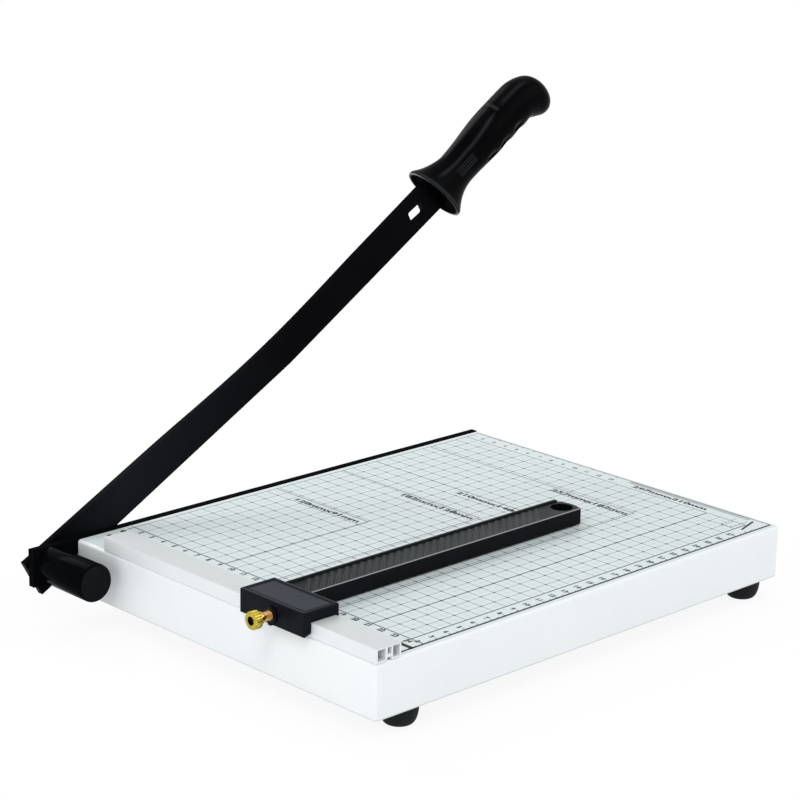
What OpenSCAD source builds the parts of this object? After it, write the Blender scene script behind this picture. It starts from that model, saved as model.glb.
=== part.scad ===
// Guillotine paper cutter with a sheet-steel bed, a swinging knife arm and a sliding side guide.
// X runs along the cutting edge from the pivot to the handle, Y points out past the knife, Z is up.
// The origin is under the middle of the whole cutter, on the desk, with the arm raised as at rest.

/* [Bed] */
// Length of the bed from the paper rail's stop face to the handle end
bed_len = 304.5; // [285:0.5:330]
// Width of the steel tray across the bed
tray_w = 248; // [220:1:280]
// Height of the tray's walls
tray_h = 31; // [30:1:45]
// Thickness of the folded sheet
sheet_t = 1.5; // [1:0.1:2]
// Radius of the tray's bends and corners
bend_r = 2; // [2:0.1:5]
// Width of the flange turned in under the tray
flange_w = 26; // [24:1:40]
// Corner radius of the opening in the underside
flange_r = 3; // [1:1:15]

/* [Feet] */
// Height of a rubber foot
foot_h = 13; // [9:0.5:18]
// Diameter of a foot where it meets the tray
foot_d = 21; // [16:0.5:22]
// Diameter of the flat that a foot stands on
foot_flat_d = 13; // [11:0.5:15]
// Height of a foot's straight rim
foot_rim = 3; // [1:0.5:5]
// Distance of the feet from the pivot end
foot_in_pivot = 30; // [16:1:60]
// Distance of the feet from the handle end
foot_in_handle = 14; // [12:1:60]
// Distance of the feet from the long sides
foot_in_side = 14.5; // [12:0.5:40]
// Diameter of a foot screw
foot_screw_d = 4; // [3:0.5:5]

/* [Paper rail] */
// Width of the rail
rail_w = 17; // [16:0.5:22]
// Height of the rail above the bed
rail_h = 8; // [7:0.5:10]
// Distance from the cutting plane to the rail's end
rail_gap = 30; // [10:1:50]
// Wall thickness of the rail
rail_wall = 0.9; // [0.7:0.1:1.4]
// Width of the rail's outer cell
rail_cell_outer = 4.7; // [3:0.1:5]
// Width of the rail's inner cell
rail_cell_inner = 3.7; // [3:0.1:5]
// Diameter of a rail screw
rail_screw_d = 2.8; // [2.5:0.1:3.2]
// Number of rail screws
rail_screws_n = 3; // [2:1:5]

/* [Bed knife] */
// Thickness of the bed knife
knife_t = 4.5; // [4:0.1:6]
// Height of the bed knife
knife_h = 22; // [21:0.5:26]
// Reach of the pivot lug past the tray
lug_reach = 30; // [28:0.5:45]
// Number of knife screws
knife_screws_n = 5; // [3:1:7]
// Diameter of a knife screw
knife_screw_d = 5; // [4:0.5:6]

/* [Pivot] */
// Distance of the pivot axis from the tray's end
pivot_out = 17.5; // [16:0.5:22]
// Depth of the pivot axis below the bed
pivot_drop = 11; // [9:0.5:13]
// Diameter of the pivot bolt
bolt_d = 8; // [6:0.5:9]
// Wall of the pivot bush
bush_wall = 1.5; // [1:0.1:2]
// Diameter of the bolt's domed head
bolt_head_d = 18; // [15:0.5:22]
// Height of the bolt's domed head
bolt_head_h = 4.8; // [3:0.1:6]
// Outside diameter of the spring housing
housing_d = 22; // [21:0.5:24]
// Length of the spring housing
housing_len = 41.5; // [38:0.5:55]
// Wall of the spring housing
housing_wall = 2; // [1.5:0.1:2.5]
// Wire diameter of the pivot spring
spring_wire = 2; // [1.5:0.1:2.2]
// Number of turns of the pivot spring
spring_turns = 6.5; // [4:0.5:7]

/* [Knife arm] */
// Thickness of the arm
arm_t = 4; // [3:0.1:6]
// Angle of the raised arm above the bed
arm_lift = 28.9; // [10:0.1:60]
// Length of the arm behind the pivot
arm_back = 12; // [10:0.5:15]
// Height of the arm's top edge above the pivot
arm_top = 9.2; // [9:0.1:13]
// Depth of the cutting edge below the pivot
arm_low = 14.7; // [13:0.1:18]
// Distance along the arm to the bend in its cutting edge
arm_bend = 200; // [150:1:240]
// Angle by which the front of the cutting edge turns up
arm_bend_angle = 3.4; // [1:0.1:6]
// Width of the arm at its handle end
arm_front_w = 22.6; // [18:0.1:28]
// Distance along the arm to the handle's guard
arm_len = 347; // [320:1:380]
// Height of the bevel ground on the cutting edge
bevel_h = 7; // [4:0.5:9]
// Thickness left at the cutting edge
edge_t = 0.6; // [0.3:0.1:1]
// Length of the lock slot
slot_l = 12; // [11:0.5:16]
// Height of the lock slot
slot_h = 8; // [7:0.5:9]
// Distance of the lock and its slot from the bed's handle end
slot_back = 11; // [9:0.5:30]

/* [Handle] */
// Length of the handle from guard to pommel
handle_len = 112; // [100:1:135]
// Half height of the oval guard
guard_a = 24; // [20:0.5:30]
// Half width of the oval guard
guard_b = 13; // [12:0.5:18]
// Lean of the guard towards the pivot
guard_lean = 20; // [0:1:30]
// Thickness of the guard's rim
guard_rim = 2.2; // [1:0.1:4]
// Depth of the dish in the guard's front
guard_dish = 1.8; // [0.5:0.1:3]
// Depth of the inlay along the grip's back
inlay_depth = 0.7; // [0.2:0.1:1.5]
// Half height of the grip at its neck
neck_a = 13.2; // [12:0.1:16]
// Half height of the grip at its middle
grip_a = 14.3; // [13:0.1:18]
// Half width of the grip
grip_b = 12.8; // [10:0.1:15]
// Rise of the grip's middle line to the pommel
grip_rise = 9.5; // [4:0.5:14]
// Drop of the pommel's end from its highest point
pommel_drop = 12; // [2:0.5:15]
// Depth of the three finger grooves
groove_depth = 1.1; // [0:0.1:2]
// Length of the tang in the handle
tang_len = 60; // [40:1:75]
// Height of the tang
tang_h = 13; // [10:0.5:15]

/* [Side guide] */
// Distance from the cutting plane to the side guide's near edge on the bar
guide_at = 153.5; // [60:0.1:190]
// Length of the guide block along the rail
block_l = 51; // [44:0.5:60]
// Height of the guide block above the bed
block_h = 14.2; // [13:0.1:18]
// Thickness of the block's skirt outside the rail
skirt_t = 4.7; // [4:0.1:6]
// Thickness of the block's lip inside the rail
lip_t = 1.9; // [1.8:0.1:3]
// Distance of the bar's edge from the block's edge
bar_inset = 0.5; // [0:0.1:8]
// Width of the guide bar
bar_w = 22; // [18:0.1:26]
// Height of the guide bar's top above the bed
bar_h = 10; // [8.5:0.1:11]
// Reach of the guide bar over the bed, to the middle of its rounded end
bar_reach = 221.5; // [150:0.5:260]
// Radius of the bar's rounded end
bar_end_r = 16; // [14:0.1:30]
// Thickness of the two lips along the bar
bar_lip = 1.8; // [1:0.1:2]
// Depth of the channel between the lips
bar_channel = 1; // [1:0.1:2]
// Diameter of the round recess near the bar's end
recess_d = 13.2; // [10:0.1:15]
// Depth of that recess
recess_depth = 5; // [3:0.1:6]

/* [Thumb screw] */
// Thread diameter of the thumb screw
thumb_d = 5; // [4:0.5:5]
// Diameter of its knob
knob_d = 10; // [9:0.5:14]
// Length of its knob
knob_l = 7.6; // [6:0.1:12]
// Length of stem that shows between block and knob
stem_l = 6; // [4:0.1:10]
// Height of the screw above the bed
thumb_z = 6.4; // [5.6:0.1:6.6]
// Number of knurls on the knob
knurls = 20; // [12:1:28]

/* [Lock] */
// Width of the lock bolt
lock_w = 9; // [8:0.1:9]
// Height of the lock bolt
lock_h = 5; // [4:0.1:5]
// Travel of the lock bolt
lock_travel = 8; // [7:0.5:9]
// Diameter of the lock's knob
lock_knob_d = 9; // [8:0.5:14]

/* [Hidden] */
$fn = 48;
running = 0.05;
clear = 0.3;
over = 1;
steel_black = "#15161a";
plastic_black = "#1b1c20";

bed_z = foot_h + tray_h;
tray_x0 = -rail_w;
tray_x1 = bed_len;
tray_l = tray_x1 - tray_x0;
tray_y1 = -knife_t;
tray_y0 = tray_y1 - tray_w;
wall_in = tray_y1 - sheet_t;

foot_x = [tray_x0 + foot_in_pivot, tray_x1 - foot_in_handle];
foot_y = [tray_y0 + foot_in_side, tray_y1 - foot_in_side];
foot_head_d = 2 * foot_screw_d;
foot_head_h = 0.6 * foot_screw_d;
foot_head_z = foot_h / 3;
foot_nut_h = 0.8 * foot_screw_d;

rail_len = tray_w + knife_t - rail_gap;
rail_slot_w = rail_screw_d + 2 * running;
rail_web = (rail_w - 2 * rail_wall - rail_cell_outer - rail_cell_inner - rail_slot_w) / 2;
rail_mid_x = -rail_w + rail_wall + rail_cell_outer + rail_web + rail_slot_w / 2;
rail_mid_floor = 3.4;
rail_slot_h = 1.8;
rail_screw_margin = 25;
rail_screw_step = (rail_len - 2 * rail_screw_margin) / (rail_screws_n - 1);
rail_head_h = 2.2;

knife_screw_z = bed_z - 14;
knife_screw_x0 = tray_x0 + 22;
knife_screw_x1 = tray_x1 - 38;
knife_screw_step = (knife_screw_x1 - knife_screw_x0) / (knife_screws_n - 1);
knife_head_r = knife_screw_d;
knife_nut_h = 0.8 * knife_screw_d;

pivot_x = tray_x0 - pivot_out;
pivot_z = bed_z - pivot_drop;
bush_r = bolt_d / 2 + running + bush_wall;
cup_r = housing_d / 2 - housing_wall - running;
cup_t = 1.2;
cup_rim = 9;
housing_end = tray_y1 - housing_len;
nut_h = 0.85 * bolt_d;
washer_t = 1.6;
washer_r = bolt_d;
bolt_end = housing_end + housing_wall + 2;
nut_y = bolt_end + 1 + nut_h;
washer_y = nut_y + washer_t;
spring_y0 = washer_y + running;
spring_y1 = tray_y1 - cup_t - clear;
spring_r = bolt_d / 2 + 1 + spring_wire / 2;
spring_pitch = (spring_y1 - spring_y0 - spring_wire) / spring_turns;
echo(spring_gap = spring_pitch - spring_wire);

arm_y0 = clear;
arm_y1 = arm_y0 + arm_t;
arm_mid_y = (arm_y0 + arm_y1) / 2;
bend_rise = tan(arm_bend_angle);
edge_front_n = -arm_low + (arm_len - arm_bend) * bend_rise;
arm_front_n = edge_front_n + arm_front_w;
arm_mid_n = edge_front_n + arm_front_w / 2;
grip_n = arm_mid_n - 1.7;
back_slope = 0.9;
front_slope = 4;
slot_s = tray_x1 - slot_back - pivot_x;
slot_n = arm_mid_n - 1.6;

lock_x = pivot_x + slot_s;
lock_z = pivot_z + slot_n;

block_y1 = -guide_at + bar_inset;
block_y0 = block_y1 - block_l;
block_x0 = tray_x0 - clear - skirt_t;
block_x1 = clear + lip_t;
skirt_z = bed_z + 0.9;
bar_y1 = -guide_at;
bar_y0 = bar_y1 - bar_w;
bar_mid_y = (bar_y0 + bar_y1) / 2;
bar_z0 = bed_z + 0.9;
bar_z1 = bed_z + bar_h;
bar_floor = bar_z1 - bar_channel;
recess_x = bar_reach - 2.2 - recess_d / 2;
guide_screw_d = 3;
guide_screw_y = [bar_mid_y - bar_w / 4, bar_mid_y + bar_w / 4];
guide_screw_z = bed_z + 4.6;
guide_screw_l = 14;

thumb_y = (block_y0 + block_y1) / 2;
thumb_at = bed_z + thumb_z;
boss_l = 1.5;
insert_r = thumb_d / 2 + 1;
pad_r = thumb_d / 2 + 0.7;
pad_t = 1.6;
pad_back = tray_x0 - 0.4 - pad_t;
pad_pocket = pad_back - 1;
tip_r = thumb_d / 4;
tip_l = 0.8;
stem_end = block_x0 - boss_l - stem_l;
knob_end = stem_end - knob_l;

// Handle sections, from the guard's front face at 0 to the tip of the pommel at 1
handle_rings = 30;
handle_sides = 32;

function ease(t) = t * t * (3 - 2 * t);
function mix(a, b, t) = a + (b - a) * t;
function clamp01(t) = min(1, max(0, t));

crown_at = 0.772;
flare_at = 0.232;
dome_at = 0.892;
function grip_line(t) = t < crown_at
    ? grip_rise * mix(t / crown_at, sin(90 * t / crown_at), 0.4)
    : grip_rise - pommel_drop * pow((t - crown_at) / (1 - crown_at), 2);
rim_at = guard_rim / handle_len;
function flare(t) = pow(1 - clamp01((t - rim_at) / (flare_at - rim_at)), 2.2);
function swell(t) = ease(clamp01((t - flare_at) / 0.3));
function dome(t) = sqrt(max(0, 1 - pow(clamp01((t - dome_at) / (1 - dome_at)), 2)));
function groove(t) = t > 0.5 && t < 0.86 ? groove_depth * (0.5 - 0.5 * cos(360 * 3 * (t - 0.5) / 0.36)) : 0;
function half_h(t) = mix(mix(neck_a, grip_a, swell(t)), guard_a, flare(t)) * dome(t);
function half_w(t) = mix(mix(grip_b - 2.3, grip_b, swell(t)), guard_b, flare(t)) * dome(t);
inlay_from = 0.2;
inlay_to = 0.64;
function inlay(t, a) = inlay_depth * clamp01((sin(a) - 0.2) * 4)
    * clamp01((t - inlay_from) * 12) * clamp01((inlay_to - t) * 60);
function lean(t) = guard_lean * (1 - ease(clamp01(t / 0.45))) - 11 * ease(clamp01((t - 0.65) / 0.35));
function ring_point(t, a) = let (
    n = (half_h(t) - inlay(t, a)) * sin(a) * (1 - (sin(a) < 0 ? groove(t) / grip_a * -sin(a) : 0)),
    y = half_w(t) * cos(a)
) [t * handle_len - n * sin(lean(t)), y, grip_line(t) + n * cos(lean(t))];
function handle_t(i) = let (u = i / handle_rings) u < 0.3 ? 0.6 * u : 0.18 + (u - 0.3) * 0.82 / 0.7;
function dish_point(share, depth, a) = ring_point(0, a) * share
    + depth * [cos(guard_lean), 0, sin(guard_lean)];
handle_angles = [for (j = [0:handle_sides - 1]) 360 * j / handle_sides];
handle_points = concat(
    [for (a = handle_angles) dish_point(0.8, guard_dish, a)],
    [for (a = handle_angles) dish_point(0.88, 0, a)],
    [for (i = [0:handle_rings - 1], a = handle_angles) ring_point(handle_t(i), a)]
);
dish_middle = guard_dish * [cos(guard_lean), 0, sin(guard_lean)];
pommel_tip = [handle_len, 0, grip_line(1)];

// Where the arm's own points go when it is raised
function raised(s, n) = [
    pivot_x + s * cos(arm_lift) - n * sin(arm_lift),
    pivot_z + s * sin(arm_lift) + n * cos(arm_lift)
];
function handle_x(p) = raised(arm_len + p[0], grip_n + p[2])[0];
reach_x = max([for (p = concat(handle_points, [pommel_tip])) handle_x(p)]);
back_x = min(raised(-arm_back, arm_top + arm_back * tan(back_slope))[0], tray_x0 - lug_reach);
out_y = max(arm_mid_y + max(guard_b, grip_b), arm_y1 + bolt_head_h);
mid_x = (back_x + max(reach_x, tray_x1)) / 2;
mid_y = (tray_y0 + out_y) / 2;
echo(mid = [mid_x, mid_y], pivot = [pivot_x - mid_x, -mid_y, pivot_z], bed_z = bed_z);
echo(thumb = [block_x0 - mid_x, thumb_y - mid_y, thumb_at], lock = [lock_x - mid_x, lock_z]);
echo(slot = raised(slot_s, slot_n) - [mid_x, 0], bed_mid = [(tray_x0 + tray_x1) / 2 - mid_x]);
echo(feet = [foot_x - [mid_x, mid_x], foot_y - [mid_y, mid_y]]);

// Moves a piece from the bed's own axes to the part's origin
module place() {
    translate([-mid_x, -mid_y, 0]) children();
}

// Turns a piece that lies along Z so that it points along +X or +Y
module along_x() {
    rotate([0, 90, 0]) children();
}
module along_y() {
    rotate([-90, 0, 0]) children();
}

// Flat plate with rounded corners
module rounded_plate(l, w, h, r) {
    linear_extrude(h) {
        translate([r, 0]) square([l - 2 * r, w]);
        translate([0, r]) square([l, w - 2 * r]);
        for (x = [r, l - r], y = [r, w - r])
            translate([x, y]) circle(r);
    }
}

// Box with rounded corners and a rounded top edge, as a sheet folded over a former
module folded_box(l, w, h, r) {
    rounded_plate(l, w, h - r, r);
    translate([r, r, 0]) cube([l - 2 * r, w - 2 * r, h]);
    for (y = [r, w - r])
        translate([r, y, h - r]) along_x() cylinder(r = r, h = l - 2 * r);
    for (x = [r, l - r])
        translate([x, r, h - r]) along_y() cylinder(r = r, h = w - 2 * r);
    for (x = [r, l - r], y = [r, w - r])
        translate([x, y, h - r]) sphere(r);
}

// Hexagon nut with its hole, standing on z = 0
module hex_nut(d, h, across) {
    difference() {
        cylinder(d = across / cos(30), h = h, $fn = 6);
        translate([0, 0, -over]) cylinder(r = d / 2 + running, h = h + 2 * over);
    }
}

module at_knife_screws() {
    for (i = [0:knife_screws_n - 1])
        translate([knife_screw_x0 + i * knife_screw_step, 0, knife_screw_z]) children();
}

module at_rail_screws() {
    for (i = [0:rail_screws_n - 1])
        translate([rail_mid_x, tray_y0 + rail_screw_margin + i * rail_screw_step, bed_z]) children();
}

module at_feet() {
    for (x = foot_x, y = foot_y)
        translate([x, y, 0]) children();
}

// Folded steel tray that carries everything, open underneath
module base_tray() color("#f2f4f5") place() difference() {
    translate([tray_x0, tray_y0, foot_h]) folded_box(tray_l, tray_w, tray_h, bend_r);
    translate([tray_x0 + sheet_t, tray_y0 + sheet_t, foot_h + sheet_t])
        folded_box(tray_l - 2 * sheet_t, tray_w - 2 * sheet_t, tray_h - 2 * sheet_t, max(bend_r - sheet_t, 0.2));
    translate([tray_x0 + flange_w, tray_y0 + flange_w, foot_h - over])
        rounded_plate(tray_l - 2 * flange_w, tray_w - 2 * flange_w, sheet_t + 2 * over, flange_r);
    at_knife_screws()
        translate([0, wall_in - over, 0]) along_y() cylinder(d = knife_screw_d + clear, h = sheet_t + 2 * over);
    at_rail_screws()
        translate([0, 0, -sheet_t - over]) cylinder(d = rail_screw_d + clear, h = sheet_t + 2 * over);
    at_feet()
        translate([0, 0, foot_h - over]) cylinder(d = foot_screw_d + clear, h = sheet_t + 2 * over);
    lock_bore(wall_in - over, sheet_t + 2 * over);
    lock_wall_slot();
}

// Square passage for the lock bolt through the tray wall and the bed knife
module lock_bore(y, depth) {
    w = lock_w + 2 * clear;
    h = lock_h + 2 * clear;
    translate([lock_x - w / 2, y, lock_z - h / 2]) cube([w, depth, h]);
}

// Fixed lower blade: a steel bar along the bed that runs on as the pivot lug
module bed_knife() color(steel_black) place() difference() {
    translate([tray_x0 - lug_reach, tray_y1, bed_z - knife_h]) cube([tray_l + lug_reach, knife_t, knife_h]);
    translate([pivot_x, tray_y1 - over, pivot_z]) along_y() cylinder(r = bush_r, h = knife_t + 2 * over);
    at_knife_screws() {
        translate([0, tray_y1 - over, 0]) along_y() cylinder(d = knife_screw_d + clear, h = knife_t + 2 * over);
        translate([0, -knife_head_r / 2, 0]) along_y()
            cylinder(r1 = knife_head_r / 2, r2 = knife_head_r, h = knife_head_r / 2);
    }
    lock_bore(tray_y1 - over, knife_t + 2 * over);
}

// Countersunk screws that clamp the bed knife to the tray
module knife_screws() color("#2a2b2f") place() at_knife_screws() {
    sunk = 0.15;
    head_r = knife_head_r - sunk - running;
    head_h = head_r - knife_screw_d / 2;
    translate([0, -head_h - sunk, 0]) along_y()
        cylinder(r1 = knife_screw_d / 2, r2 = head_r, h = head_h);
    translate([0, wall_in - knife_nut_h - 2, 0]) along_y()
        cylinder(d = knife_screw_d, h = -wall_in + knife_nut_h + 2 - head_h - sunk);
}

// Nuts on the knife screws, inside the tray
module knife_nuts() color("silver") place() at_knife_screws()
    translate([0, wall_in - knife_nut_h, 0]) along_y() hex_nut(knife_screw_d, knife_nut_h, 1.6 * knife_screw_d);

// Cross-section of the extruded rail: two large cells with a small one and a screw channel between
module rail_profile() {
    cell_h = rail_h - 2 * rail_wall;
    difference() {
        translate([-rail_w, 0]) square([rail_w, rail_h]);
        translate([-rail_w + rail_wall, rail_wall]) square([rail_cell_outer, cell_h]);
        translate([-rail_wall - rail_cell_inner, rail_wall]) square([rail_cell_inner, cell_h]);
        translate([rail_mid_x - rail_slot_w / 2 + 0.4, rail_mid_floor])
            square([rail_slot_w - 0.8, rail_h - rail_wall - rail_mid_floor]);
        translate([rail_mid_x - rail_slot_w / 2, -over]) square([rail_slot_w, rail_slot_h + over]);
    }
}

// Aluminium paper rail across the pivot end, the stop that sheets are squared against
module paper_rail() color("#cfd3d8") place() difference() {
    translate([0, -rail_gap, bed_z]) rotate([90, 0, 0]) linear_extrude(rail_len) rail_profile();
    at_rail_screws() cylinder(d = rail_slot_w, h = rail_mid_floor);
}

// Pan-head screws that hold the rail from under the bed
module rail_screws() color("silver") place() at_rail_screws() {
    translate([0, 0, -sheet_t - rail_head_h]) cylinder(d = 2 * rail_screw_d, h = rail_head_h);
    translate([0, 0, -sheet_t]) cylinder(d = rail_screw_d, h = sheet_t + rail_mid_floor - 0.2);
}

// Round black cap over the pivot spring, closed at its near end
module spring_housing() color(plastic_black) place() translate([pivot_x, housing_end, pivot_z]) along_y() {
    round_r = 2;
    chamfer = 0.8;
    r = housing_d / 2;
    rotate_extrude() difference() {
        union() {
            translate([0, round_r]) square([r, housing_len - round_r - chamfer]);
            square([r - round_r, round_r]);
            translate([r - round_r, round_r]) circle(round_r);
            polygon([[0, housing_len - chamfer], [r, housing_len - chamfer], [r - chamfer, housing_len], [0, housing_len]]);
        }
        translate([0, housing_wall]) square([r - housing_wall, housing_len]);
        translate([-2 * round_r, -over]) square([2 * round_r, housing_len + 2 * over]);
    }
}

// Pressed steel cup against the lug, in which the spring sits and over which the housing is pushed
module spring_cup() color("silver") place() translate([pivot_x, tray_y1 - cup_rim, pivot_z]) along_y() difference() {
    cylinder(r = cup_r, h = cup_rim);
    translate([0, 0, -over]) cylinder(r = cup_r - 1, h = cup_rim - cup_t + over);
    cylinder(r = bolt_d / 2 + 0.4, h = cup_rim + over);
}

// Bronze bush pressed into the lug
module pivot_bush() color("#a9813f") place() translate([pivot_x, tray_y1, pivot_z]) along_y() difference() {
    cylinder(r = bush_r, h = knife_t);
    translate([0, 0, -over]) cylinder(r = bolt_d / 2 + running, h = knife_t + 2 * over);
}

// Domed rubber foot with its screw recess; the curve is a quarter of an ellipse
module foot() {
    curve_h = foot_h - foot_rim;
    bulge = (foot_d - foot_flat_d) / 2;
    color("#141416") difference() {
        rotate_extrude() polygon(concat(
            [[0, 0]],
            [for (a = [0:10:90]) [foot_flat_d / 2 + bulge * sin(a), curve_h * (1 - cos(a))]],
            [[foot_d / 2, foot_h], [0, foot_h]]
        ));
        translate([0, 0, -over]) cylinder(d = foot_screw_d + clear, h = foot_h + 2 * over);
        translate([0, 0, -over]) cylinder(d = foot_head_d + clear, h = foot_head_z + over);
    }
}
module foot_near_left() place() translate([foot_x[0], foot_y[0], 0]) foot();
module foot_near_right() place() translate([foot_x[1], foot_y[0], 0]) foot();
module foot_far_left() place() translate([foot_x[0], foot_y[1], 0]) foot();
module foot_far_right() place() translate([foot_x[1], foot_y[1], 0]) foot();

// Screws through the feet, with their heads well inside the rubber
module foot_screws() color("silver") place() at_feet() {
    translate([0, 0, foot_head_z - foot_head_h]) cylinder(d = foot_head_d, h = foot_head_h);
    translate([0, 0, foot_head_z]) cylinder(d = foot_screw_d, h = foot_h + sheet_t + foot_nut_h + 1 - foot_head_z);
}

// Nuts on the foot screws, on top of the flange
module foot_nuts() color("silver") place() at_feet()
    translate([0, 0, foot_h + sheet_t]) hex_nut(foot_screw_d, foot_nut_h, 1.75 * foot_screw_d);

// Top edge of the arm from the back to the guard: two straights joined by a long hollow curve
function arm_top_n(s) = let (
    back = arm_top - s * tan(back_slope),
    front = arm_front_n - (arm_len - s) * tan(front_slope),
    u = clamp01((s - 90) / 190)
) mix(back, front, ease(u));

// Outline of the arm in its own axes, s along it and n across it, with the pivot at 0
module arm_outline() {
    steps = 14;
    polygon(concat(
        [[-arm_back, -arm_low], [arm_bend, -arm_low], at_guard(edge_front_n, bend_rise)],
        [at_guard(arm_mid_n - tang_h / 2, tang_slope)],
        [[arm_len + tang_len, arm_mid_n + tang_rise - tang_h / 2]],
        [[arm_len + tang_len, arm_mid_n + tang_rise + tang_h / 2]],
        [at_guard(arm_mid_n + tang_h / 2, tang_slope), at_guard(arm_front_n, tan(front_slope))],
        [for (i = [steps - 1:-1:0]) let (s = mix(-arm_back, arm_len, i / steps)) [s, arm_top_n(s)]]
    ));
}
tang_rise = 3.5;
tang_slope = tang_rise / tang_len;

// Point where an edge of the arm, at height n with a slope, meets the floor of the guard's dish
function at_guard(n, slope) = let (
    lean = tan(guard_lean),
    x = (guard_dish / cos(guard_lean) - (n - grip_n) * lean) / (1 + slope * lean) - running
) [arm_len + x, n + x * slope];
bevel_from = 20;

// Puts a piece drawn at rest level on the raised arm
module on_arm() {
    translate([pivot_x, 0, pivot_z]) rotate([0, -arm_lift, 0]) children();
}

// Wedge that grinds the bevel along one straight of the cutting edge
module edge_grind(run) {
    translate([-over, 0, 0]) rotate([90, 0, 90]) linear_extrude(run + 2 * over) polygon([
        [arm_y0 + edge_t, 0], [arm_y1, bevel_h], [arm_y1 + over, bevel_h],
        [arm_y1 + over, -over], [arm_y0 + edge_t, -over]
    ]);
}

// Swinging knife arm: a black steel plate, ground along its lower edge on the outer side
module knife_arm() color(steel_black) place() on_arm() difference() {
    translate([0, arm_y1, 0]) rotate([90, 0, 0]) linear_extrude(arm_t) arm_outline();
    neck = bolt_d + 0.2;
    translate([-neck / 2, arm_y0 - over, -neck / 2]) cube([neck, arm_t + 2 * over, neck]);
    translate([slot_s - slot_l / 2, arm_y0 - over, slot_n - slot_h / 2]) cube([slot_l, arm_t + 2 * over, slot_h]);
    translate([bevel_from, 0, -arm_low]) edge_grind(arm_bend - bevel_from);
    translate([arm_bend, 0, -arm_low]) rotate([0, -arm_bend_angle, 0]) edge_grind(arm_len - arm_bend - 6);
}

// Moulded grip: a flared oval guard, a neck, finger grooves under a swelling palm and a round pommel
module handle() color(plastic_black) place() on_arm() difference() {
    n = handle_sides;
    bands = handle_rings + 1;
    last = (bands + 1) * n;
    translate([arm_len, arm_mid_y, grip_n]) polyhedron(
        points = concat(handle_points, [pommel_tip, dish_middle]),
        faces = concat(
            [for (i = [0:bands - 1], j = [0:n - 1])
                let (a = i * n + j, b = i * n + (j + 1) % n) [a, b, b + n]],
            [for (i = [0:bands - 1], j = [0:n - 1])
                let (a = i * n + j, b = i * n + (j + 1) % n) [a, b + n, a + n]],
            [for (j = [0:n - 1]) [last - n + j, last - n + (j + 1) % n, last]],
            [for (j = [0:n - 1]) [(j + 1) % n, j, last + 1]]
        )
    );
    translate([0, arm_y1 + running, 0]) rotate([90, 0, 0]) linear_extrude(arm_t + 2 * running) polygon([
        [arm_len - 30, arm_mid_n - tang_h / 2 - running],
        [arm_len, arm_mid_n - tang_h / 2 - running],
        [arm_len + tang_len + running, arm_mid_n + tang_rise - tang_h / 2 - running],
        [arm_len + tang_len + running, arm_mid_n + tang_rise + tang_h / 2 + running],
        [arm_len, arm_mid_n + tang_h / 2 + running],
        [arm_len - 30, arm_mid_n + tang_h / 2 + running]
    ]);
}

// Carriage bolt: a domed head outside the arm, a square neck in it, and the pivot's shank
module pivot_bolt() color("#3a3c40") place() on_arm() {
    dome_r = (pow(bolt_head_d / 2, 2) + pow(bolt_head_h, 2)) / (2 * bolt_head_h);
    translate([0, arm_y1, 0]) along_y() intersection() {
        cylinder(d = bolt_head_d, h = bolt_head_h);
        translate([0, 0, bolt_head_h - dome_r]) sphere(dome_r);
    }
    translate([-bolt_d / 2, arm_y0 + 0.2, -bolt_d / 2]) cube([bolt_d, arm_t - 0.2, bolt_d]);
    translate([0, bolt_end, 0]) along_y() cylinder(d = bolt_d, h = arm_y0 + 0.2 - bolt_end);
}

// Points on the spring's wire, ring i along it and side j round it
spring_per_turn = 16;
spring_sides = 8;
spring_lead = atan(spring_pitch / (2 * PI * spring_r));
function wire_point(i, j) = let (
    a = 360 * i / spring_per_turn,
    b = 360 * j / spring_sides,
    r = spring_r + spring_wire / 2 * cos(b),
    t = -spring_wire / 2 * sin(b) * sin(spring_lead)
) [
    r * cos(a) - t * sin(a),
    r * sin(a) + t * cos(a),
    spring_pitch * i / spring_per_turn + spring_wire / 2 * sin(b) * cos(spring_lead)
];

// Compression spring round the bolt, one unbroken wire
module pivot_spring() color("#8a8d92") place() translate([pivot_x, spring_y0 + spring_wire / 2, pivot_z]) along_y() {
    k = spring_sides;
    rings = spring_turns * spring_per_turn;
    polyhedron(
        points = [for (i = [0:rings], j = [0:k - 1]) wire_point(i, j)],
        faces = concat(
            [for (i = [0:rings - 1], j = [0:k - 1])
                let (a = i * k + j, b = i * k + (j + 1) % k) [a, b + k, b]],
            [for (i = [0:rings - 1], j = [0:k - 1])
                let (a = i * k + j, b = i * k + (j + 1) % k) [a, a + k, b + k]],
            [for (j = [1:k - 2]) [0, j, j + 1]],
            [for (j = [1:k - 2]) [rings * k, rings * k + j + 1, rings * k + j]]
        )
    );
}

// Washer that the spring pushes on
module pivot_washer() color("silver") place() translate([pivot_x, nut_y, pivot_z]) along_y() difference() {
    cylinder(r = washer_r, h = washer_t);
    translate([0, 0, -over]) cylinder(r = bolt_d / 2 + 0.2, h = washer_t + 2 * over);
}

// Lock nut that sets how hard the arm is drawn against the bed knife
module pivot_nut() color("silver") place() on_arm()
    translate([0, nut_y - nut_h, 0]) along_y() hex_nut(bolt_d, nut_h, 1.625 * bolt_d);

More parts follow.
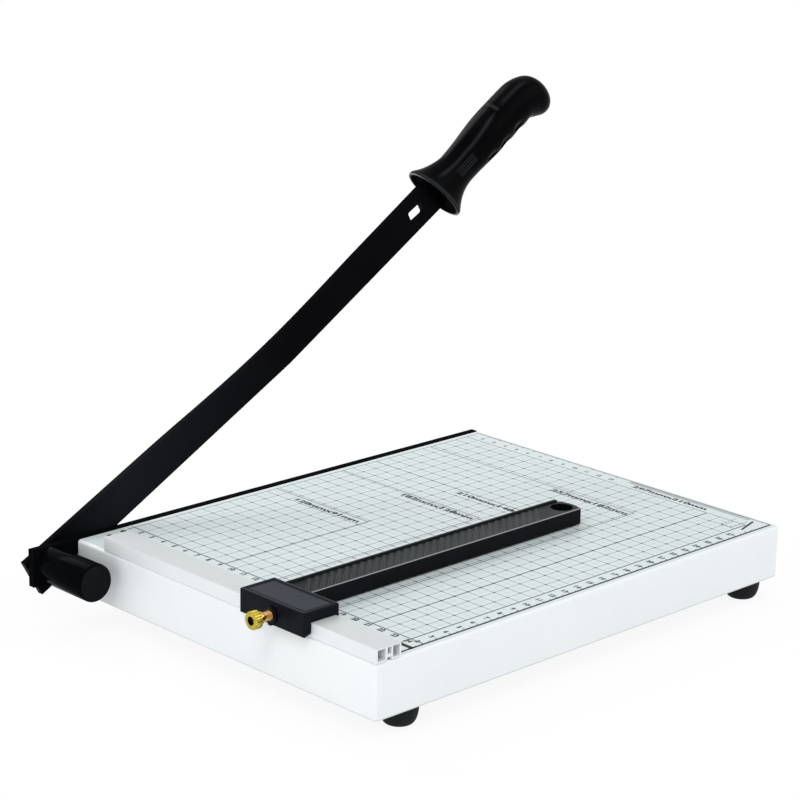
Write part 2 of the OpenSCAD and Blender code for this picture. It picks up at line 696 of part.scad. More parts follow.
// Guide block that straddles the rail, with a skirt outside and a lip inside
module guide_block() color(plastic_black) place() difference() {
    edge_r = 1.2;
    panel_in = 3;
    panel_deep = 0.7;
    w = block_x1 - block_x0;
    top_z = bed_z + block_h;
    union() {
        translate([block_x0, block_y0, skirt_z]) rounded_plate(w, block_l, top_z - skirt_z, edge_r);
        translate([block_x0 - boss_l, thumb_y, thumb_at]) along_x() cylinder(r = insert_r + 1.2, h = boss_l + 1);
        translate([block_x0 - boss_l, thumb_y - 1.2, skirt_z]) cube([boss_l + 1, 2.4, thumb_at - skirt_z]);
    }
    translate([block_x0 + panel_in, block_y0 + panel_in, top_z - panel_deep])
        rounded_plate(w - 2 * panel_in, block_l - 2 * panel_in, panel_deep + over, edge_r);
    translate([tray_x0 - clear, block_y0 - over, skirt_z - over])
        cube([rail_w + 2 * clear, block_l + 2 * over, bed_z + rail_h + clear - skirt_z + over]);
    translate([-over, block_y0 - over, skirt_z - over])
        cube([block_x1 + 2 * over, bar_y0 - 0.5 - block_y0 + over, 4 + over]);
    translate([block_x0 - boss_l - over, thumb_y, thumb_at]) along_x()
        cylinder(r = insert_r, h = pad_pocket - block_x0 + boss_l + over);
    translate([pad_pocket, thumb_y, thumb_at]) along_x() cylinder(r = pad_r + 0.2, h = tray_x0 - pad_pocket + over);
    for (y = guide_screw_y) translate([clear - over, y, guide_screw_z]) along_x() {
        cylinder(d = guide_screw_d + clear, h = lip_t + 2 * over);
        cylinder(d = 2 * guide_screw_d - 0.4, h = over);
        translate([0, 0, over]) cylinder(d1 = 2 * guide_screw_d - 0.4, d2 = guide_screw_d, h = guide_screw_d / 2 - 0.2);
    }
}

// Outline of the guide bar seen from above, square at the block and rounded at its free end
module bar_outline(inset) {
    straight = bar_reach - bar_end_r + sqrt(pow(bar_end_r, 2) - pow(bar_w / 2, 2));
    translate([block_x1 + inset, bar_y0 + inset]) square([straight - block_x1 - 2 * inset, bar_w - 2 * inset]);
    intersection() {
        translate([bar_reach - bar_end_r, bar_mid_y]) circle(bar_end_r - inset, $fn = 96);
        translate([straight - 2 * inset - 1, bar_y0 + inset]) square([bar_end_r, bar_w - 2 * inset]);
    }
}

// Guide bar that lies over the bed: a channel with two lips, a finger recess, and a cored underside
module guide_bar() color(plastic_black) place() difference() {
    root = 22;
    core_wall = 2;
    bay = 40;
    translate([0, 0, bar_z0]) linear_extrude(bar_z1 - bar_z0) bar_outline(0);
    translate([block_x1 + bar_lip, bar_y0 + bar_lip, bar_floor])
        cube([bar_reach + over, bar_w - 2 * bar_lip, bar_channel + over]);
    translate([recess_x, bar_mid_y, bar_floor - recess_depth]) cylinder(d = recess_d, h = recess_depth + over);
    for (x = [block_x1 + root:bay + core_wall:recess_x - recess_d / 2 - bay - core_wall])
        translate([x, bar_y0 + core_wall, bar_z0 - over])
            cube([bay, bar_w - 2 * core_wall, bar_floor - core_wall - bar_z0 + over]);
    for (y = guide_screw_y)
        translate([block_x1 - over, y, guide_screw_z]) along_x() cylinder(d = guide_screw_d + 2 * running, h = guide_screw_l + over);
}

// Countersunk screws through the block's lip into the end of the bar
module guide_screws() color("silver") place() for (y = guide_screw_y) translate([clear + 0.1, y, guide_screw_z]) along_x() {
    head = guide_screw_d / 2 - 0.4;
    cylinder(d1 = 2 * guide_screw_d - 0.6, d2 = guide_screw_d, h = head);
    translate([0, 0, head]) cylinder(d = guide_screw_d, h = guide_screw_l - head - 1);
}

// Brass insert in the skirt, threaded for the thumb screw
module guide_insert() color("#c9a24a") place() translate([block_x0 - boss_l, thumb_y, thumb_at]) along_x() difference() {
    depth = pad_pocket - block_x0 + boss_l;
    cylinder(r = insert_r, h = depth);
    translate([0, 0, -over]) cylinder(r = thumb_d / 2 + running, h = depth + 2 * over);
}

// Pad on the tip of the thumb screw that grips the rail
module clamp_pad() color("#c9a24a") place() translate([pad_back, thumb_y, thumb_at]) along_x() difference() {
    cylinder(r = pad_r, h = pad_t);
    translate([0, 0, -over]) cylinder(r = tip_r + running, h = tip_l + running + over);
}

// Brass thumb screw: a pilot tip, the threaded stem, a hub, and a knurled knob with a socket in its end
module thumb_screw() color("#c9a24a") place() translate([knob_end, thumb_y, thumb_at]) along_x() difference() {
    hub_l = 1.8;
    rim_l = knob_l - hub_l;
    edge = 0.5;
    r = knob_d / 2;
    union() {
        cylinder(r1 = r - edge, r2 = r, h = edge);
        translate([0, 0, edge]) cylinder(r = r, h = rim_l - 2 * edge);
        translate([0, 0, rim_l - edge]) cylinder(r1 = r, r2 = r - edge, h = edge);
        translate([0, 0, rim_l]) cylinder(r = r - 1.4, h = hub_l);
        translate([0, 0, knob_l]) cylinder(d = thumb_d, h = pad_back - stem_end - 0.1);
        translate([0, 0, knob_l + pad_back - stem_end - 0.1]) cylinder(r = tip_r, h = tip_l + 0.1);
    }
    translate([0, 0, -over]) cylinder(d = 0.45 * knob_d, h = 3 + over);
    for (i = [0:knurls - 1])
        rotate([0, 0, 360 * i / knurls]) translate([r + 0.15, 0, -over]) cylinder(r = 0.45, h = rim_l + over, $fn = 16);
}

// Where the lock's knob crosses the handle-end wall, and the slot that it slides in
lock_stem_r = 2.5;
lock_back = 45;
lock_stem_y = tray_y1 - 30;
lock_wall_in = tray_x1 - sheet_t;
module lock_wall_slot() {
    r = lock_stem_r + clear;
    translate([lock_wall_in - over, lock_stem_y, lock_z]) along_x() cylinder(r = r, h = sheet_t + 2 * over);
    translate([lock_wall_in - over, lock_stem_y, lock_z - r]) cube([sheet_t + 2 * over, lock_travel, 2 * r]);
    translate([lock_wall_in - over, lock_stem_y + lock_travel, lock_z]) along_x()
        cylinder(r = r, h = sheet_t + 2 * over);
}

// Flat bolt under the bed that slides out through the bed knife into the arm's slot
module lock_bolt() color("#8a8d92") place()
    translate([lock_x - lock_w / 2, -lock_back, lock_z - lock_h / 2]) cube([lock_w, lock_back - 0.5, lock_h]);

// Knob outside the handle-end wall that slides the lock bolt
module lock_knob() color(plastic_black) place() translate([0, lock_stem_y, lock_z]) {
    grip_l = 5;
    round_r = 1.5;
    r = lock_knob_d / 2;
    translate([lock_x + lock_w / 2, 0, 0]) along_x() cylinder(r = lock_stem_r, h = tray_x1 + clear - lock_x - lock_w / 2);
    translate([tray_x1 + clear, 0, 0]) along_x() rotate_extrude() {
        square([r, grip_l - round_r]);
        square([r - round_r, grip_l]);
        intersection() {
            translate([r - round_r, grip_l - round_r]) circle(round_r);
            translate([r - round_r, grip_l - round_r]) square(round_r);
        }
    }
}

// Bracket under the bed that carries the lock bolt, welded by its two flanges
module lock_guide() color("silver") place() {
    t = 1.2;
    len_y = 12;
    flange = 6;
    half = lock_w / 2 + clear;
    low = lock_z - lock_h / 2 - clear;
    top = bed_z - sheet_t;
    translate([lock_x, tray_y1 - 6, 0]) rotate([90, 0, 0]) linear_extrude(len_y) {
        translate([-half - t, low - t]) square([2 * half + 2 * t, t]);
        for (side = [-half - t, half]) translate([side, low - t]) square([t, top - low + t]);
        translate([-half - flange, top - t]) square([flange, t]);
        translate([half, top - t]) square([min(flange, tray_x1 - bend_r - clear - lock_x - half), t]);
    }
}

base_tray();
bed_knife();
knife_screws();
knife_nuts();
paper_rail();
rail_screws();
spring_housing();
spring_cup();
pivot_bush();
foot_near_left();
foot_near_right();
foot_far_left();
foot_far_right();
foot_screws();
foot_nuts();
lock_guide();
knife_arm();
handle();
pivot_bolt();
pivot_spring();
pivot_washer();
pivot_nut();
guide_block();
guide_bar();
guide_screws();
guide_insert();
clamp_pad();
thumb_screw();
lock_bolt();
lock_knob();
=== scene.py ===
import math

import bmesh
import bpy
from mathutils import Matrix, Vector


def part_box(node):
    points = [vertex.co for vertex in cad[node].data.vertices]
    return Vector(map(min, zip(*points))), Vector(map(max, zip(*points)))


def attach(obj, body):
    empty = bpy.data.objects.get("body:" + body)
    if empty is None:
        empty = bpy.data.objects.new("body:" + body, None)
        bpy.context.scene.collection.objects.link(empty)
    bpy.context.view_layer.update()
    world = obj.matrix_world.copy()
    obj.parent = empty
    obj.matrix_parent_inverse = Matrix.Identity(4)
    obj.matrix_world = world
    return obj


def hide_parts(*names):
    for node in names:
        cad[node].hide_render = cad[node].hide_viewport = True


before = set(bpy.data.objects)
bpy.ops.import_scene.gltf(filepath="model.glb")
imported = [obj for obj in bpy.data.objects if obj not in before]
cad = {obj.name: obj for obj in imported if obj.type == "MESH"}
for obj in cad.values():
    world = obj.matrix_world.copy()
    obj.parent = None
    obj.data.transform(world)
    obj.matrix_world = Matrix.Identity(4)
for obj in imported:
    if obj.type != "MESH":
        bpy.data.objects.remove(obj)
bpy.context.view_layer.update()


# Base tray: sheet steel folded to a shallow box with a flange turned in underneath, powder-coated white.
# The coat has a fine orange-peel skin, and the flat top is tinted cooler and darker than the walls; painted shade
# darkens the lower folded edge, for the dark underside that the fold reflects.
BED_Z, FOOT_HIGH = 44.0, 13.0
TRAY_CORNER = Vector((-17.0, -252.5, FOOT_HIGH))
bed_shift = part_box("base_tray")[0] * 1000 - TRAY_CORNER


def at(x, y, z):
    """A point of the bed's axes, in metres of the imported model."""
    return (Vector((x, y, z)) + bed_shift) / 1000


def shade(red, green, blue):
    """A colour as a paint chart gives it, from 0 to 255, in the linear values that a shader takes."""
    parts = [c / 255 for c in (red, green, blue)]
    return tuple(c / 12.92 if c < 0.04045 else ((c + 0.055) / 1.055) ** 2.4 for c in parts) + (1.0,)


def feed(tree, socket, value):
    """Links a socket to another one, or sets it to a plain value."""
    if isinstance(value, bpy.types.NodeSocket):
        tree.links.new(value, socket)
    else:
        socket.default_value = value


def add_node(tree, kind, **settings):
    """Adds a shader node. Capital names set or link its sockets, the others its own properties."""
    made = tree.nodes.new("ShaderNode" + kind)
    for name, value in settings.items():
        if name[0].islower():
            setattr(made, name, value)
        else:
            feed(tree, made.inputs[name.replace("_", " ")], value)
    return made


def calc(tree, operation, *values):
    """A Math node on sockets or plain numbers."""
    made = add_node(tree, "Math", operation=operation)
    for socket, value in zip(made.inputs, values):
        feed(tree, socket, value)
    return made.outputs[0]


def mix_colours(tree, share, first, second):
    """A colour between two, by a mask; each may be a socket or a plain colour."""
    made = add_node(tree, "Mix", data_type="RGBA")
    for index, value in ((0, share), (6, first), (7, second)):
        feed(tree, made.inputs[index], value)
    return made.outputs[2]


def spread(tree, value, low, high, from_low=0.0, from_high=1.0):
    """Maps a mask to a range of values."""
    made = add_node(tree, "MapRange", Value=value, From_Min=from_low, From_Max=from_high, To_Min=low, To_Max=high)
    return made.outputs[0]


def new_group(name, inputs, outputs):
    """An empty shader group with plain number sockets, and its two ends."""
    group = bpy.data.node_groups.new(name, "ShaderNodeTree")
    for side, labels in (("INPUT", inputs), ("OUTPUT", outputs)):
        for label in labels:
            group.interface.new_socket(label, in_out=side, socket_type="NodeSocketFloat")
    return group, group.nodes.new("NodeGroupInput"), group.nodes.new("NodeGroupOutput")


def object_place(tree):
    """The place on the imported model, in metres."""
    return add_node(tree, "TexCoord").outputs["Object"]


# Fine skin and broad patches of a coated or moulded surface
skin, skin_in, skin_out = new_group("surface_skin", ["Grain Scale", "Patch Scale"], ["Grain", "Patches"])
place = object_place(skin)
grain = add_node(skin, "TexNoise", Vector=place, Scale=skin_in.outputs["Grain Scale"], Detail=2.0, Roughness=0.55)
patches = add_node(skin, "TexNoise", Vector=place, Scale=skin_in.outputs["Patch Scale"], Detail=4.0, Roughness=0.6)
feed(skin, skin_out.inputs["Grain"], grain.outputs[0])
feed(skin, skin_out.inputs["Patches"], spread(skin, patches.outputs[0], 0.0, 1.0, 0.3, 0.7))


class Finish:
    """A finish with a fine skin: its colour and gloss drift in broad patches, and the skin is a shallow relief."""

    def __init__(self, name, colour, worn, roughness, grain_mm, patch_mm, depth_mm, **fixed):
        self.material = bpy.data.materials.new(name)
        self.material.use_nodes = True
        self.tree = self.material.node_tree
        self.inputs = self.tree.nodes["Principled BSDF"].inputs
        self.colour = shade(*colour)
        look = add_node(self.tree, "Group", node_tree=skin, Grain_Scale=1000 / grain_mm, Patch_Scale=1000 / patch_mm)
        self.tint(look.outputs["Patches"], worn)
        self.set("Roughness", spread(self.tree, look.outputs["Patches"], *roughness))
        self.relief(look.outputs["Grain"], 0.6, depth_mm)
        for label, value in fixed.items():
            self.set(label.replace("_", " "), value)

    def set(self, label, value):
        """Sets or links one input of the shader."""
        feed(self.tree, self.inputs[label], value)

    def tint(self, share, colour):
        """Turns the finish to another colour where a mask is 1."""
        self.colour = mix_colours(self.tree, share, self.colour, shade(*colour))
        self.set("Base Color", self.colour)

    def relief(self, height, strength, depth_mm):
        """Adds a shallow relief on top of the one it has."""
        bump = add_node(self.tree, "Bump", Height=height, Strength=strength, Distance=depth_mm / 1000)
        if self.inputs["Normal"].is_linked:
            feed(self.tree, bump.inputs["Normal"], self.inputs["Normal"].links[0].from_socket)
        self.set("Normal", bump.outputs[0])

    def tint_within(self, colour, soft, **limits):
        """Turns the finish to another colour between limits on the bed's axes; None leaves a side open."""
        axes = add_node(self.tree, "SeparateXYZ", Vector=object_place(self.tree)).outputs
        share = 1.0
        for axis, (low, high) in limits.items():
            for limit, edge in ((low, -soft), (high, soft)):
                if limit is not None:
                    start, end = [(value + getattr(bed_shift, axis)) / 1000 for value in (limit, limit + edge)]
                    step = spread(self.tree, axes[axis.upper()], 1.0, 0.0, start, end)
                    share = calc(self.tree, "MULTIPLY", step, share)
        self.tint(share, colour)


def paint(finish, *names):
    """Gives CAD nodes a finish in every slot."""
    for name in names:
        for slot in cad[name].material_slots:
            slot.material = finish.material


white_paint = Finish("white_powder_coat", (243, 245, 246), (238, 241, 243), (0.34, 0.44), 1.5, 60, 0.02,
                     Specular_IOR_Level=0.35)
white_paint.tint_within((214, 222, 223), 0.3, z=(BED_Z - 0.05, None))
# Painted shade: a band along the lower folded edge is painted darker, for the dark underside that the fold reflects.
white_paint.tint_within((216, 219, 220), 0.3, z=(None, FOOT_HIGH + 0.5))
paint(white_paint, "base_tray")


# Printed table on the bed: screen-printed squares of ten millimetres, rulers counted in centimetres, and the
# outlines of cut sheets with their plain sizes. Each print is a thin film of ink on the coat.
INK_THICK = 0.04
HAIR_TOP, GRID_TOP, LINE_TOP, MARK_TOP = [BED_Z + above for above in (0.012, 0.02, 0.03, 0.04)]
SQUARE = 10
TABLE_P, TABLE_V = (20, 290), (10, 238.9)
HAIR_WIDE, CROSS_WIDE, CROSS_HALF = 0.4, 0.8, 1
SHEETS = ((128, 91), (182, 128), (210, 148), (257, 182))
SHEET_WIDE, TICK_WIDE, HALF_TICK_WIDE = 0.7, 0.5, 0.35
DOT_V, DOTS = 11.6, ((1.0, 1.4), (11.2, 2.1))


def fresh_start():
    """Leaves edit mode and selects nothing, so that the next operator acts on its own piece alone."""
    if bpy.context.object and bpy.context.object.mode != "OBJECT":
        bpy.ops.object.mode_set(mode="OBJECT")
    bpy.ops.object.select_all(action="DESELECT")


def settle(name):
    """Names the active piece and moves its place into its mesh."""
    piece = bpy.context.object
    piece.name = piece.data.name = name
    bpy.ops.object.transform_apply(location=True, rotation=True, scale=True)
    return piece


def work_on(piece):
    """Makes one piece the active one and the only one selected."""
    fresh_start()
    bpy.context.view_layer.objects.active = piece
    piece.select_set(True)


def apply_modifier(piece, kind, **settings):
    """Adds one modifier to a piece and applies it."""
    work_on(piece)
    made = piece.modifiers.new(kind.lower(), kind)
    for name, value in settings.items():
        setattr(made, name, value)
    bpy.ops.object.modifier_apply(modifier=made.name)


def strip(p0, v0, p1, v1):
    """A printed strip between two corners: p from the rail's stop face, v from the cutting edge."""
    fresh_start()
    low, high = at(min(p0, p1), -max(v0, v1), LINE_TOP), at(max(p0, p1), -min(v0, v1), LINE_TOP)
    bpy.ops.mesh.primitive_plane_add(size=1, location=(low + high) / 2)
    bpy.context.object.scale = (high.x - low.x, high.y - low.y, 1)
    return settle("ink_strip")


def long_line(v, p0, p1, width):
    return strip(p0, v - width / 2, p1, v + width / 2)


def cross_line(p, v0, v1, width):
    return strip(p - width / 2, v0, p + width / 2, v1)


def repeat(piece, count, step_p, step_v=0.0):
    """Repeats a strip at a constant step, each with its own faces."""
    apply_modifier(piece, "ARRAY", count=count, use_relative_offset=False, use_constant_offset=True,
                   constant_offset_displace=(step_p / 1000, -step_v / 1000, 0))
    return piece


def join(name, pieces):
    """Joins pieces into the first one."""
    fresh_start()
    for piece in pieces:
        piece.select_set(True)
    bpy.context.view_layer.objects.active = pieces[0]
    bpy.ops.object.join()
    return settle(name)


def film(name, pieces, top, finish):
    """Joins flat strips to one film of ink with its own thickness, printed on the bed."""
    piece = join(name, pieces)
    piece.location.z = (top - LINE_TOP) / 1000
    settle(name)
    apply_modifier(piece, "SOLIDIFY", thickness=INK_THICK / 1000, offset=-1)
    piece.data.materials.append(finish.material)
    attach(piece, "base")


def ink(name, colour, worn, roughness=(0.5, 0.6)):
    """A matt printing ink, a little uneven."""
    return Finish(name, colour, worn, roughness, 0.6, 9, 0.004, Specular_IOR_Level=0.2)


hair_ink = ink("hairline_ink", (194, 202, 204), (202, 210, 211))
pale_ink = ink("pale_grey_ink", (152, 160, 162), (166, 174, 176))
cross_ink = ink("cross_ink", (124, 132, 135), (138, 146, 149))
grey_ink = ink("grey_ink", (104, 112, 115), (120, 128, 131))
dark_ink = ink("dark_ink", (52, 58, 62), (68, 74, 78))
black_ink = ink("black_ink", (22, 24, 27), (34, 36, 40), (0.45, 0.55))

half_squares = [repeat(cross_line(25, *TABLE_V, HAIR_WIDE), 27, SQUARE),
                repeat(long_line(15, *TABLE_P, HAIR_WIDE), 23, 0, SQUARE)]
film("table_half_squares", half_squares, HAIR_TOP, hair_ink)
squares = [repeat(cross_line(30, *TABLE_V, 0.68), 26, SQUARE),
           repeat(long_line(20, *TABLE_P, 0.62), 22, 0, SQUARE)]
film("table_squares", squares, GRID_TOP, pale_ink)
crosses = [cross_line(30, 20 - CROSS_HALF, 20 + CROSS_HALF, CROSS_WIDE),
           long_line(20, 30 - CROSS_HALF, 30 + CROSS_HALF, CROSS_WIDE)]
film("table_crosses", [repeat(repeat(arm, 26, SQUARE), 22, 0, SQUARE) for arm in crosses], LINE_TOP, cross_ink)

outlines = [cross_line(20, 8, 247.6, 0.9), long_line(10, 20, 298, 0.6),
            long_line(TABLE_V[1], 12, 290, 1.0), cross_line(TABLE_P[1], 10, 240, 0.6),
            cross_line(301.2, 8, 248, 0.8), long_line(210, *TABLE_P, 1.0)]
for across, along in SHEETS:
    outlines += [cross_line(across, TABLE_V[0], along, SHEET_WIDE),
                 long_line(along, TABLE_P[0], across, SHEET_WIDE)]
film("sheet_outlines", outlines, LINE_TOP, grey_ink)

border = [long_line(248.2, 1, 301, 1.5),
          repeat(cross_line(20, 245.8, 247.6, TICK_WIDE), 27, SQUARE),
          repeat(cross_line(15, 246.6, 247.6, HALF_TICK_WIDE), 28, SQUARE),
          repeat(long_line(20, 18.2, 20, TICK_WIDE), 22, 0, SQUARE),
          repeat(long_line(15, 19, 20, HALF_TICK_WIDE), 23, 0, SQUARE),
          repeat(long_line(20, 299, 301, 0.4), 12, 0, SQUARE),
          repeat(long_line(142, 297.6, 300.8, 0.3), 93, 0, 1)]
film("ruler_ticks", border, MARK_TOP, dark_ink)

dashes = [repeat(long_line(228, 281, 282.8, 0.5), 5, 3),
          repeat(long_line(236, 281, 282.8, 0.5), 5, 3),
          repeat(cross_line(281, 228, 229.8, 0.5), 3, 0, 3),
          strip(10.2, 239.2, 13.0, 249)]
slant = strip(281.5, 239.6, 298.5, 241)
bpy.ops.object.mode_set(mode="EDIT")
bpy.ops.mesh.select_all(action="SELECT")
bpy.ops.transform.rotate(value=math.radians(-16), orient_axis="Z", center_override=at(290, -240.3, LINE_TOP))
film("corner_marks", dashes + [slant], MARK_TOP, black_ink)

dots = []
for p, radius in DOTS:
    fresh_start()
    bpy.ops.mesh.primitive_circle_add(vertices=24, radius=radius / 1000, fill_type="NGON",
                                      location=at(p, -DOT_V, LINE_TOP))
    dots.append(settle("ink_dot"))
film("corner_dots", dots, MARK_TOP, black_ink)


def lettering(words, p, v, size, weight=0.0, stretch=1.0):
    """Printed figures that read along the cutting edge's normal, as flat faces on the bed."""
    fresh_start()
    bpy.ops.object.text_add(location=at(p, -v, LINE_TOP), rotation=(0, 0, -math.pi / 2))
    text = bpy.context.object.data
    text.body = words
    text.size = size / 1000
    text.offset = weight / 1000
    bpy.context.object.scale = (stretch, 1, 1)
    text.align_x = text.align_y = "CENTER"
    text.resolution_u = 2
    bpy.ops.object.convert(target="MESH")
    return settle("figures")


figures = [lettering(str(n), SQUARE * n, 243.5, 4.3, 0.2) for n in range(2, 28)]
figures += [lettering(str(n), 17.0, SQUARE * n - 0.2, 4.4, 0.22) for n in range(1, 25)]
figures += [lettering(str(n), 294.4, SQUARE * n, 3.8, 0.14) for n in range(2, 14)]
film("ruler_figures", figures, MARK_TOP, dark_ink)

labels = [lettering("%dmmx%dmm" % (across, along), across - 4.6, along - 31.5, 5.2, 0.2, 1.78)
          for across, along in SHEETS]
labels.append(lettering("297mmx210mm", 294.6, 177, 5.0, 0.2, 1.76))
film("sheet_sizes", labels, MARK_TOP, black_ink)


# Bed knife: a flat steel bar painted dull black, screwed along the cutting side; it runs on as the pivot's lug.
# Its five countersunk screws have cross recesses and are blackened.
dark_steel = Finish("blackened_steel", (44, 45, 48), (58, 59, 62), (0.3, 0.42), 0.4, 8, 0.006, Metallic=0.8)
dull_steel = Finish("dull_black_paint", (9, 9, 11), (13, 13, 16), (0.6, 0.75), 0.7, 25, 0.012,
                    Specular_IOR_Level=0.002)
paint(dull_steel, "bed_knife")

SCREW_X = (5.0, 70.375, 135.75, 201.125, 266.5)
SCREW_Y, SCREW_Z = -0.15, 30.0
SCREW_HEAD_R, SCREW_HEAD_HIGH, SCREW_HEAD_EDGE, SCREW_DOME = 4.8, 2.3, 0.6, 0.08
SCREW_SHANK_Y, SCREW_SHANK_LEN, SCREW_SHANK_R = -12.0, 9.7, 2.5
SCREW_CROSS, SCREW_CROSS_DEEP = (2.4, 0.5), 1.3


def box(name, low, high):
    """Starts a piece as a block between two corners of the bed's axes."""
    fresh_start()
    a, b = at(*low), at(*high)
    bpy.ops.mesh.primitive_cube_add(size=1, location=(a + b) / 2)
    bpy.context.object.scale = b - a
    return settle(name)


ALONG = {"X": (0, math.pi / 2, 0), "Y": (-math.pi / 2, 0, 0), "Z": (0, 0, 0)}


def rod(name, start, axis, length, radius, end_radius=None, sides=48):
    """Starts a piece as a round bar or cone from a point along one axis."""
    fresh_start()
    middle = Vector(start) + Vector([length / 2 if axis == a else 0.0 for a in "XYZ"])
    bpy.ops.mesh.primitive_cone_add(
        vertices=sides, radius1=radius / 1000, radius2=(radius if end_radius is None else end_radius) / 1000,
        depth=length / 1000, location=at(*middle), rotation=ALONG[axis])
    return settle(name)


def carve(piece, *tools, operation="DIFFERENCE"):
    """Cuts tools from a piece, or welds them to it, and takes the tools away."""
    for tool in tools:
        apply_modifier(piece, "BOOLEAN", object=tool, operation=operation, solver="EXACT")
        bpy.data.objects.remove(tool)
    return piece


def edit_faces(piece, wanted):
    """Opens a piece in edit mode with the faces selected whose normal is wanted."""
    work_on(piece)
    bpy.ops.object.mode_set(mode="EDIT")
    bpy.ops.mesh.select_mode(type="FACE")
    bpy.ops.mesh.select_all(action="DESELECT")
    mesh = bmesh.from_edit_mesh(piece.data)
    for face in mesh.faces:
        face.select_set(wanted(face.normal))
    bmesh.update_edit_mesh(piece.data)


def step_in(width, *move):
    """Insets the selected faces, and moves what is left of them if a move is given."""
    bpy.ops.mesh.inset(thickness=width / 1000)
    if move:
        bpy.ops.transform.translate(value=[step / 1000 for step in move])


def pull(*move):
    """Extrudes the selected faces."""
    bpy.ops.mesh.extrude_region_move(TRANSFORM_OT_translate={"value": [step / 1000 for step in move]})


def edit_edges(piece, wanted):
    """Opens a piece in edit mode with the edges selected whose two ends, on the bed's axes, are wanted."""
    edit_faces(piece, lambda normal: False)
    bpy.ops.mesh.select_mode(type="EDGE")
    mesh = bmesh.from_edit_mesh(piece.data)
    for edge in mesh.edges:
        edge.select_set(wanted(*[v.co * 1000 - bed_shift for v in edge.verts]))
    bmesh.update_edit_mesh(piece.data)


def round_edges(piece, wanted, radius, segments):
    """Rounds the edges whose two ends are wanted."""
    edit_edges(piece, wanted)
    bpy.ops.mesh.bevel(offset=radius / 1000, segments=segments)
    bpy.ops.object.mode_set(mode="OBJECT")


def soften(piece, width):
    """Rounds the sharp edges of a piece and shades it smooth across the rounds."""
    work_on(piece)
    bpy.ops.object.shade_smooth()
    apply_modifier(piece, "BEVEL", width=width / 1000, segments=2, limit_method="ANGLE",
                   angle_limit=math.radians(32), harden_normals=True, use_clamp_overlap=True)
    return piece


def smooth_by_angle(piece, degrees):
    """Shades a piece smooth, apart from edges that turn by more than an angle."""
    work_on(piece)
    bpy.ops.object.shade_smooth_by_angle(angle=math.radians(degrees))


def even_shading(piece):
    """Shades a cut piece smooth over its rounds and flat over its faces."""
    work_on(piece)
    bpy.ops.mesh.customdata_custom_splitnormals_clear()
    smooth_by_angle(piece, 40)
    apply_modifier(piece, "WEIGHTED_NORMAL", mode="FACE_AREA", keep_sharp=True)


def close(piece):
    """Merges doubles and turns every face outwards."""
    work_on(piece)
    bpy.ops.object.mode_set(mode="EDIT")
    bpy.ops.mesh.select_all(action="SELECT")
    bpy.ops.mesh.remove_doubles(threshold=0.000001)
    bpy.ops.mesh.normals_make_consistent(inside=False)
    bpy.ops.object.mode_set(mode="OBJECT")
    return piece


def stands_for(piece, node, body, finish):
    """The finished piece takes a CAD node's place."""
    piece.data.materials.clear()
    piece.data.materials.append(finish.material)
    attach(piece, body)
    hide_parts(node)


def knife_screw(x):
    """One countersunk screw: a cone, its shank, and a cross cut in the head."""
    head = (x, SCREW_Y - SCREW_HEAD_HIGH, SCREW_Z)
    screw = rod("screw", head, "Y", SCREW_HEAD_HIGH, SCREW_SHANK_R, SCREW_HEAD_R, 40)
    edit_faces(screw, lambda normal: normal.y > 0.9)
    step_in(SCREW_HEAD_EDGE, 0, SCREW_DOME, 0)
    shank = rod("shank", (x, SCREW_SHANK_Y, SCREW_Z), "Y", SCREW_SHANK_LEN, SCREW_SHANK_R, sides=40)
    carve(screw, shank, operation="UNION")
    arms = [box("arm", (x - wide, SCREW_Y - SCREW_CROSS_DEEP, SCREW_Z - high),
                (x + wide, 1, SCREW_Z + high)) for wide, high in (SCREW_CROSS, SCREW_CROSS[::-1])]
    return soften(carve(screw, *arms), 0.12)


screws = join("cross_screws", [knife_screw(x) for x in SCREW_X])
stands_for(screws, "knife_screws", "base", dark_steel)


# Paper rail: a hollow aluminium extrusion, satin anodised, screwed down from under the bed.
# Its long faces keep fine draw lines along the length.
draw, draw_in, draw_out = new_group("draw_lines", ["Across Scale", "Along Scale"], ["Lines"])
axes = add_node(draw, "SeparateXYZ", Vector=object_place(draw))
drawn = add_node(draw, "CombineXYZ",
                 X=calc(draw, "MULTIPLY", axes.outputs["X"], draw_in.outputs["Across Scale"]),
                 Y=calc(draw, "MULTIPLY", axes.outputs["Y"], draw_in.outputs["Along Scale"]),
                 Z=calc(draw, "MULTIPLY", axes.outputs["Z"], draw_in.outputs["Across Scale"]))
streaks = add_node(draw, "TexNoise", Vector=drawn.outputs[0], Scale=1.0, Detail=3.0, Roughness=0.6)
feed(draw, draw_out.inputs["Lines"], streaks.outputs[0])

RAIL_X, RAIL_Y, RAIL_Z = (-17.0, 0.0), (-252.49, -30.0), (BED_Z, BED_Z + 8)
RAIL_CELLS = ((-16.0, -10.8, 0.9, 7.1), (-9.3, -6.7, 3.4, 7.1), (-5.6, -1.0, 0.9, 7.1), (-9.45, -6.55, -1.0, 1.8))
RAIL_SCREW_X, RAIL_SCREW_Y, RAIL_SCREW_R = -8.0, (-227.5, -141.25, -55.0), 1.43
aluminium = Finish("satin_aluminium", (240, 242, 243), (236, 238, 240), (0.34, 0.46), 0.5, 45, 0.003,
                   Metallic=0.1, Specular_IOR_Level=0.25)
lines = add_node(aluminium.tree, "Group", node_tree=draw, Across_Scale=2600, Along_Scale=12).outputs["Lines"]
aluminium.tint_within((208, 212, 213), 0.25, z=(RAIL_Z[1] - 0.05, None))
aluminium.tint(spread(aluminium.tree, lines, 0.0, 0.3), (203, 207, 209))
aluminium.relief(lines, 0.35, 0.01)

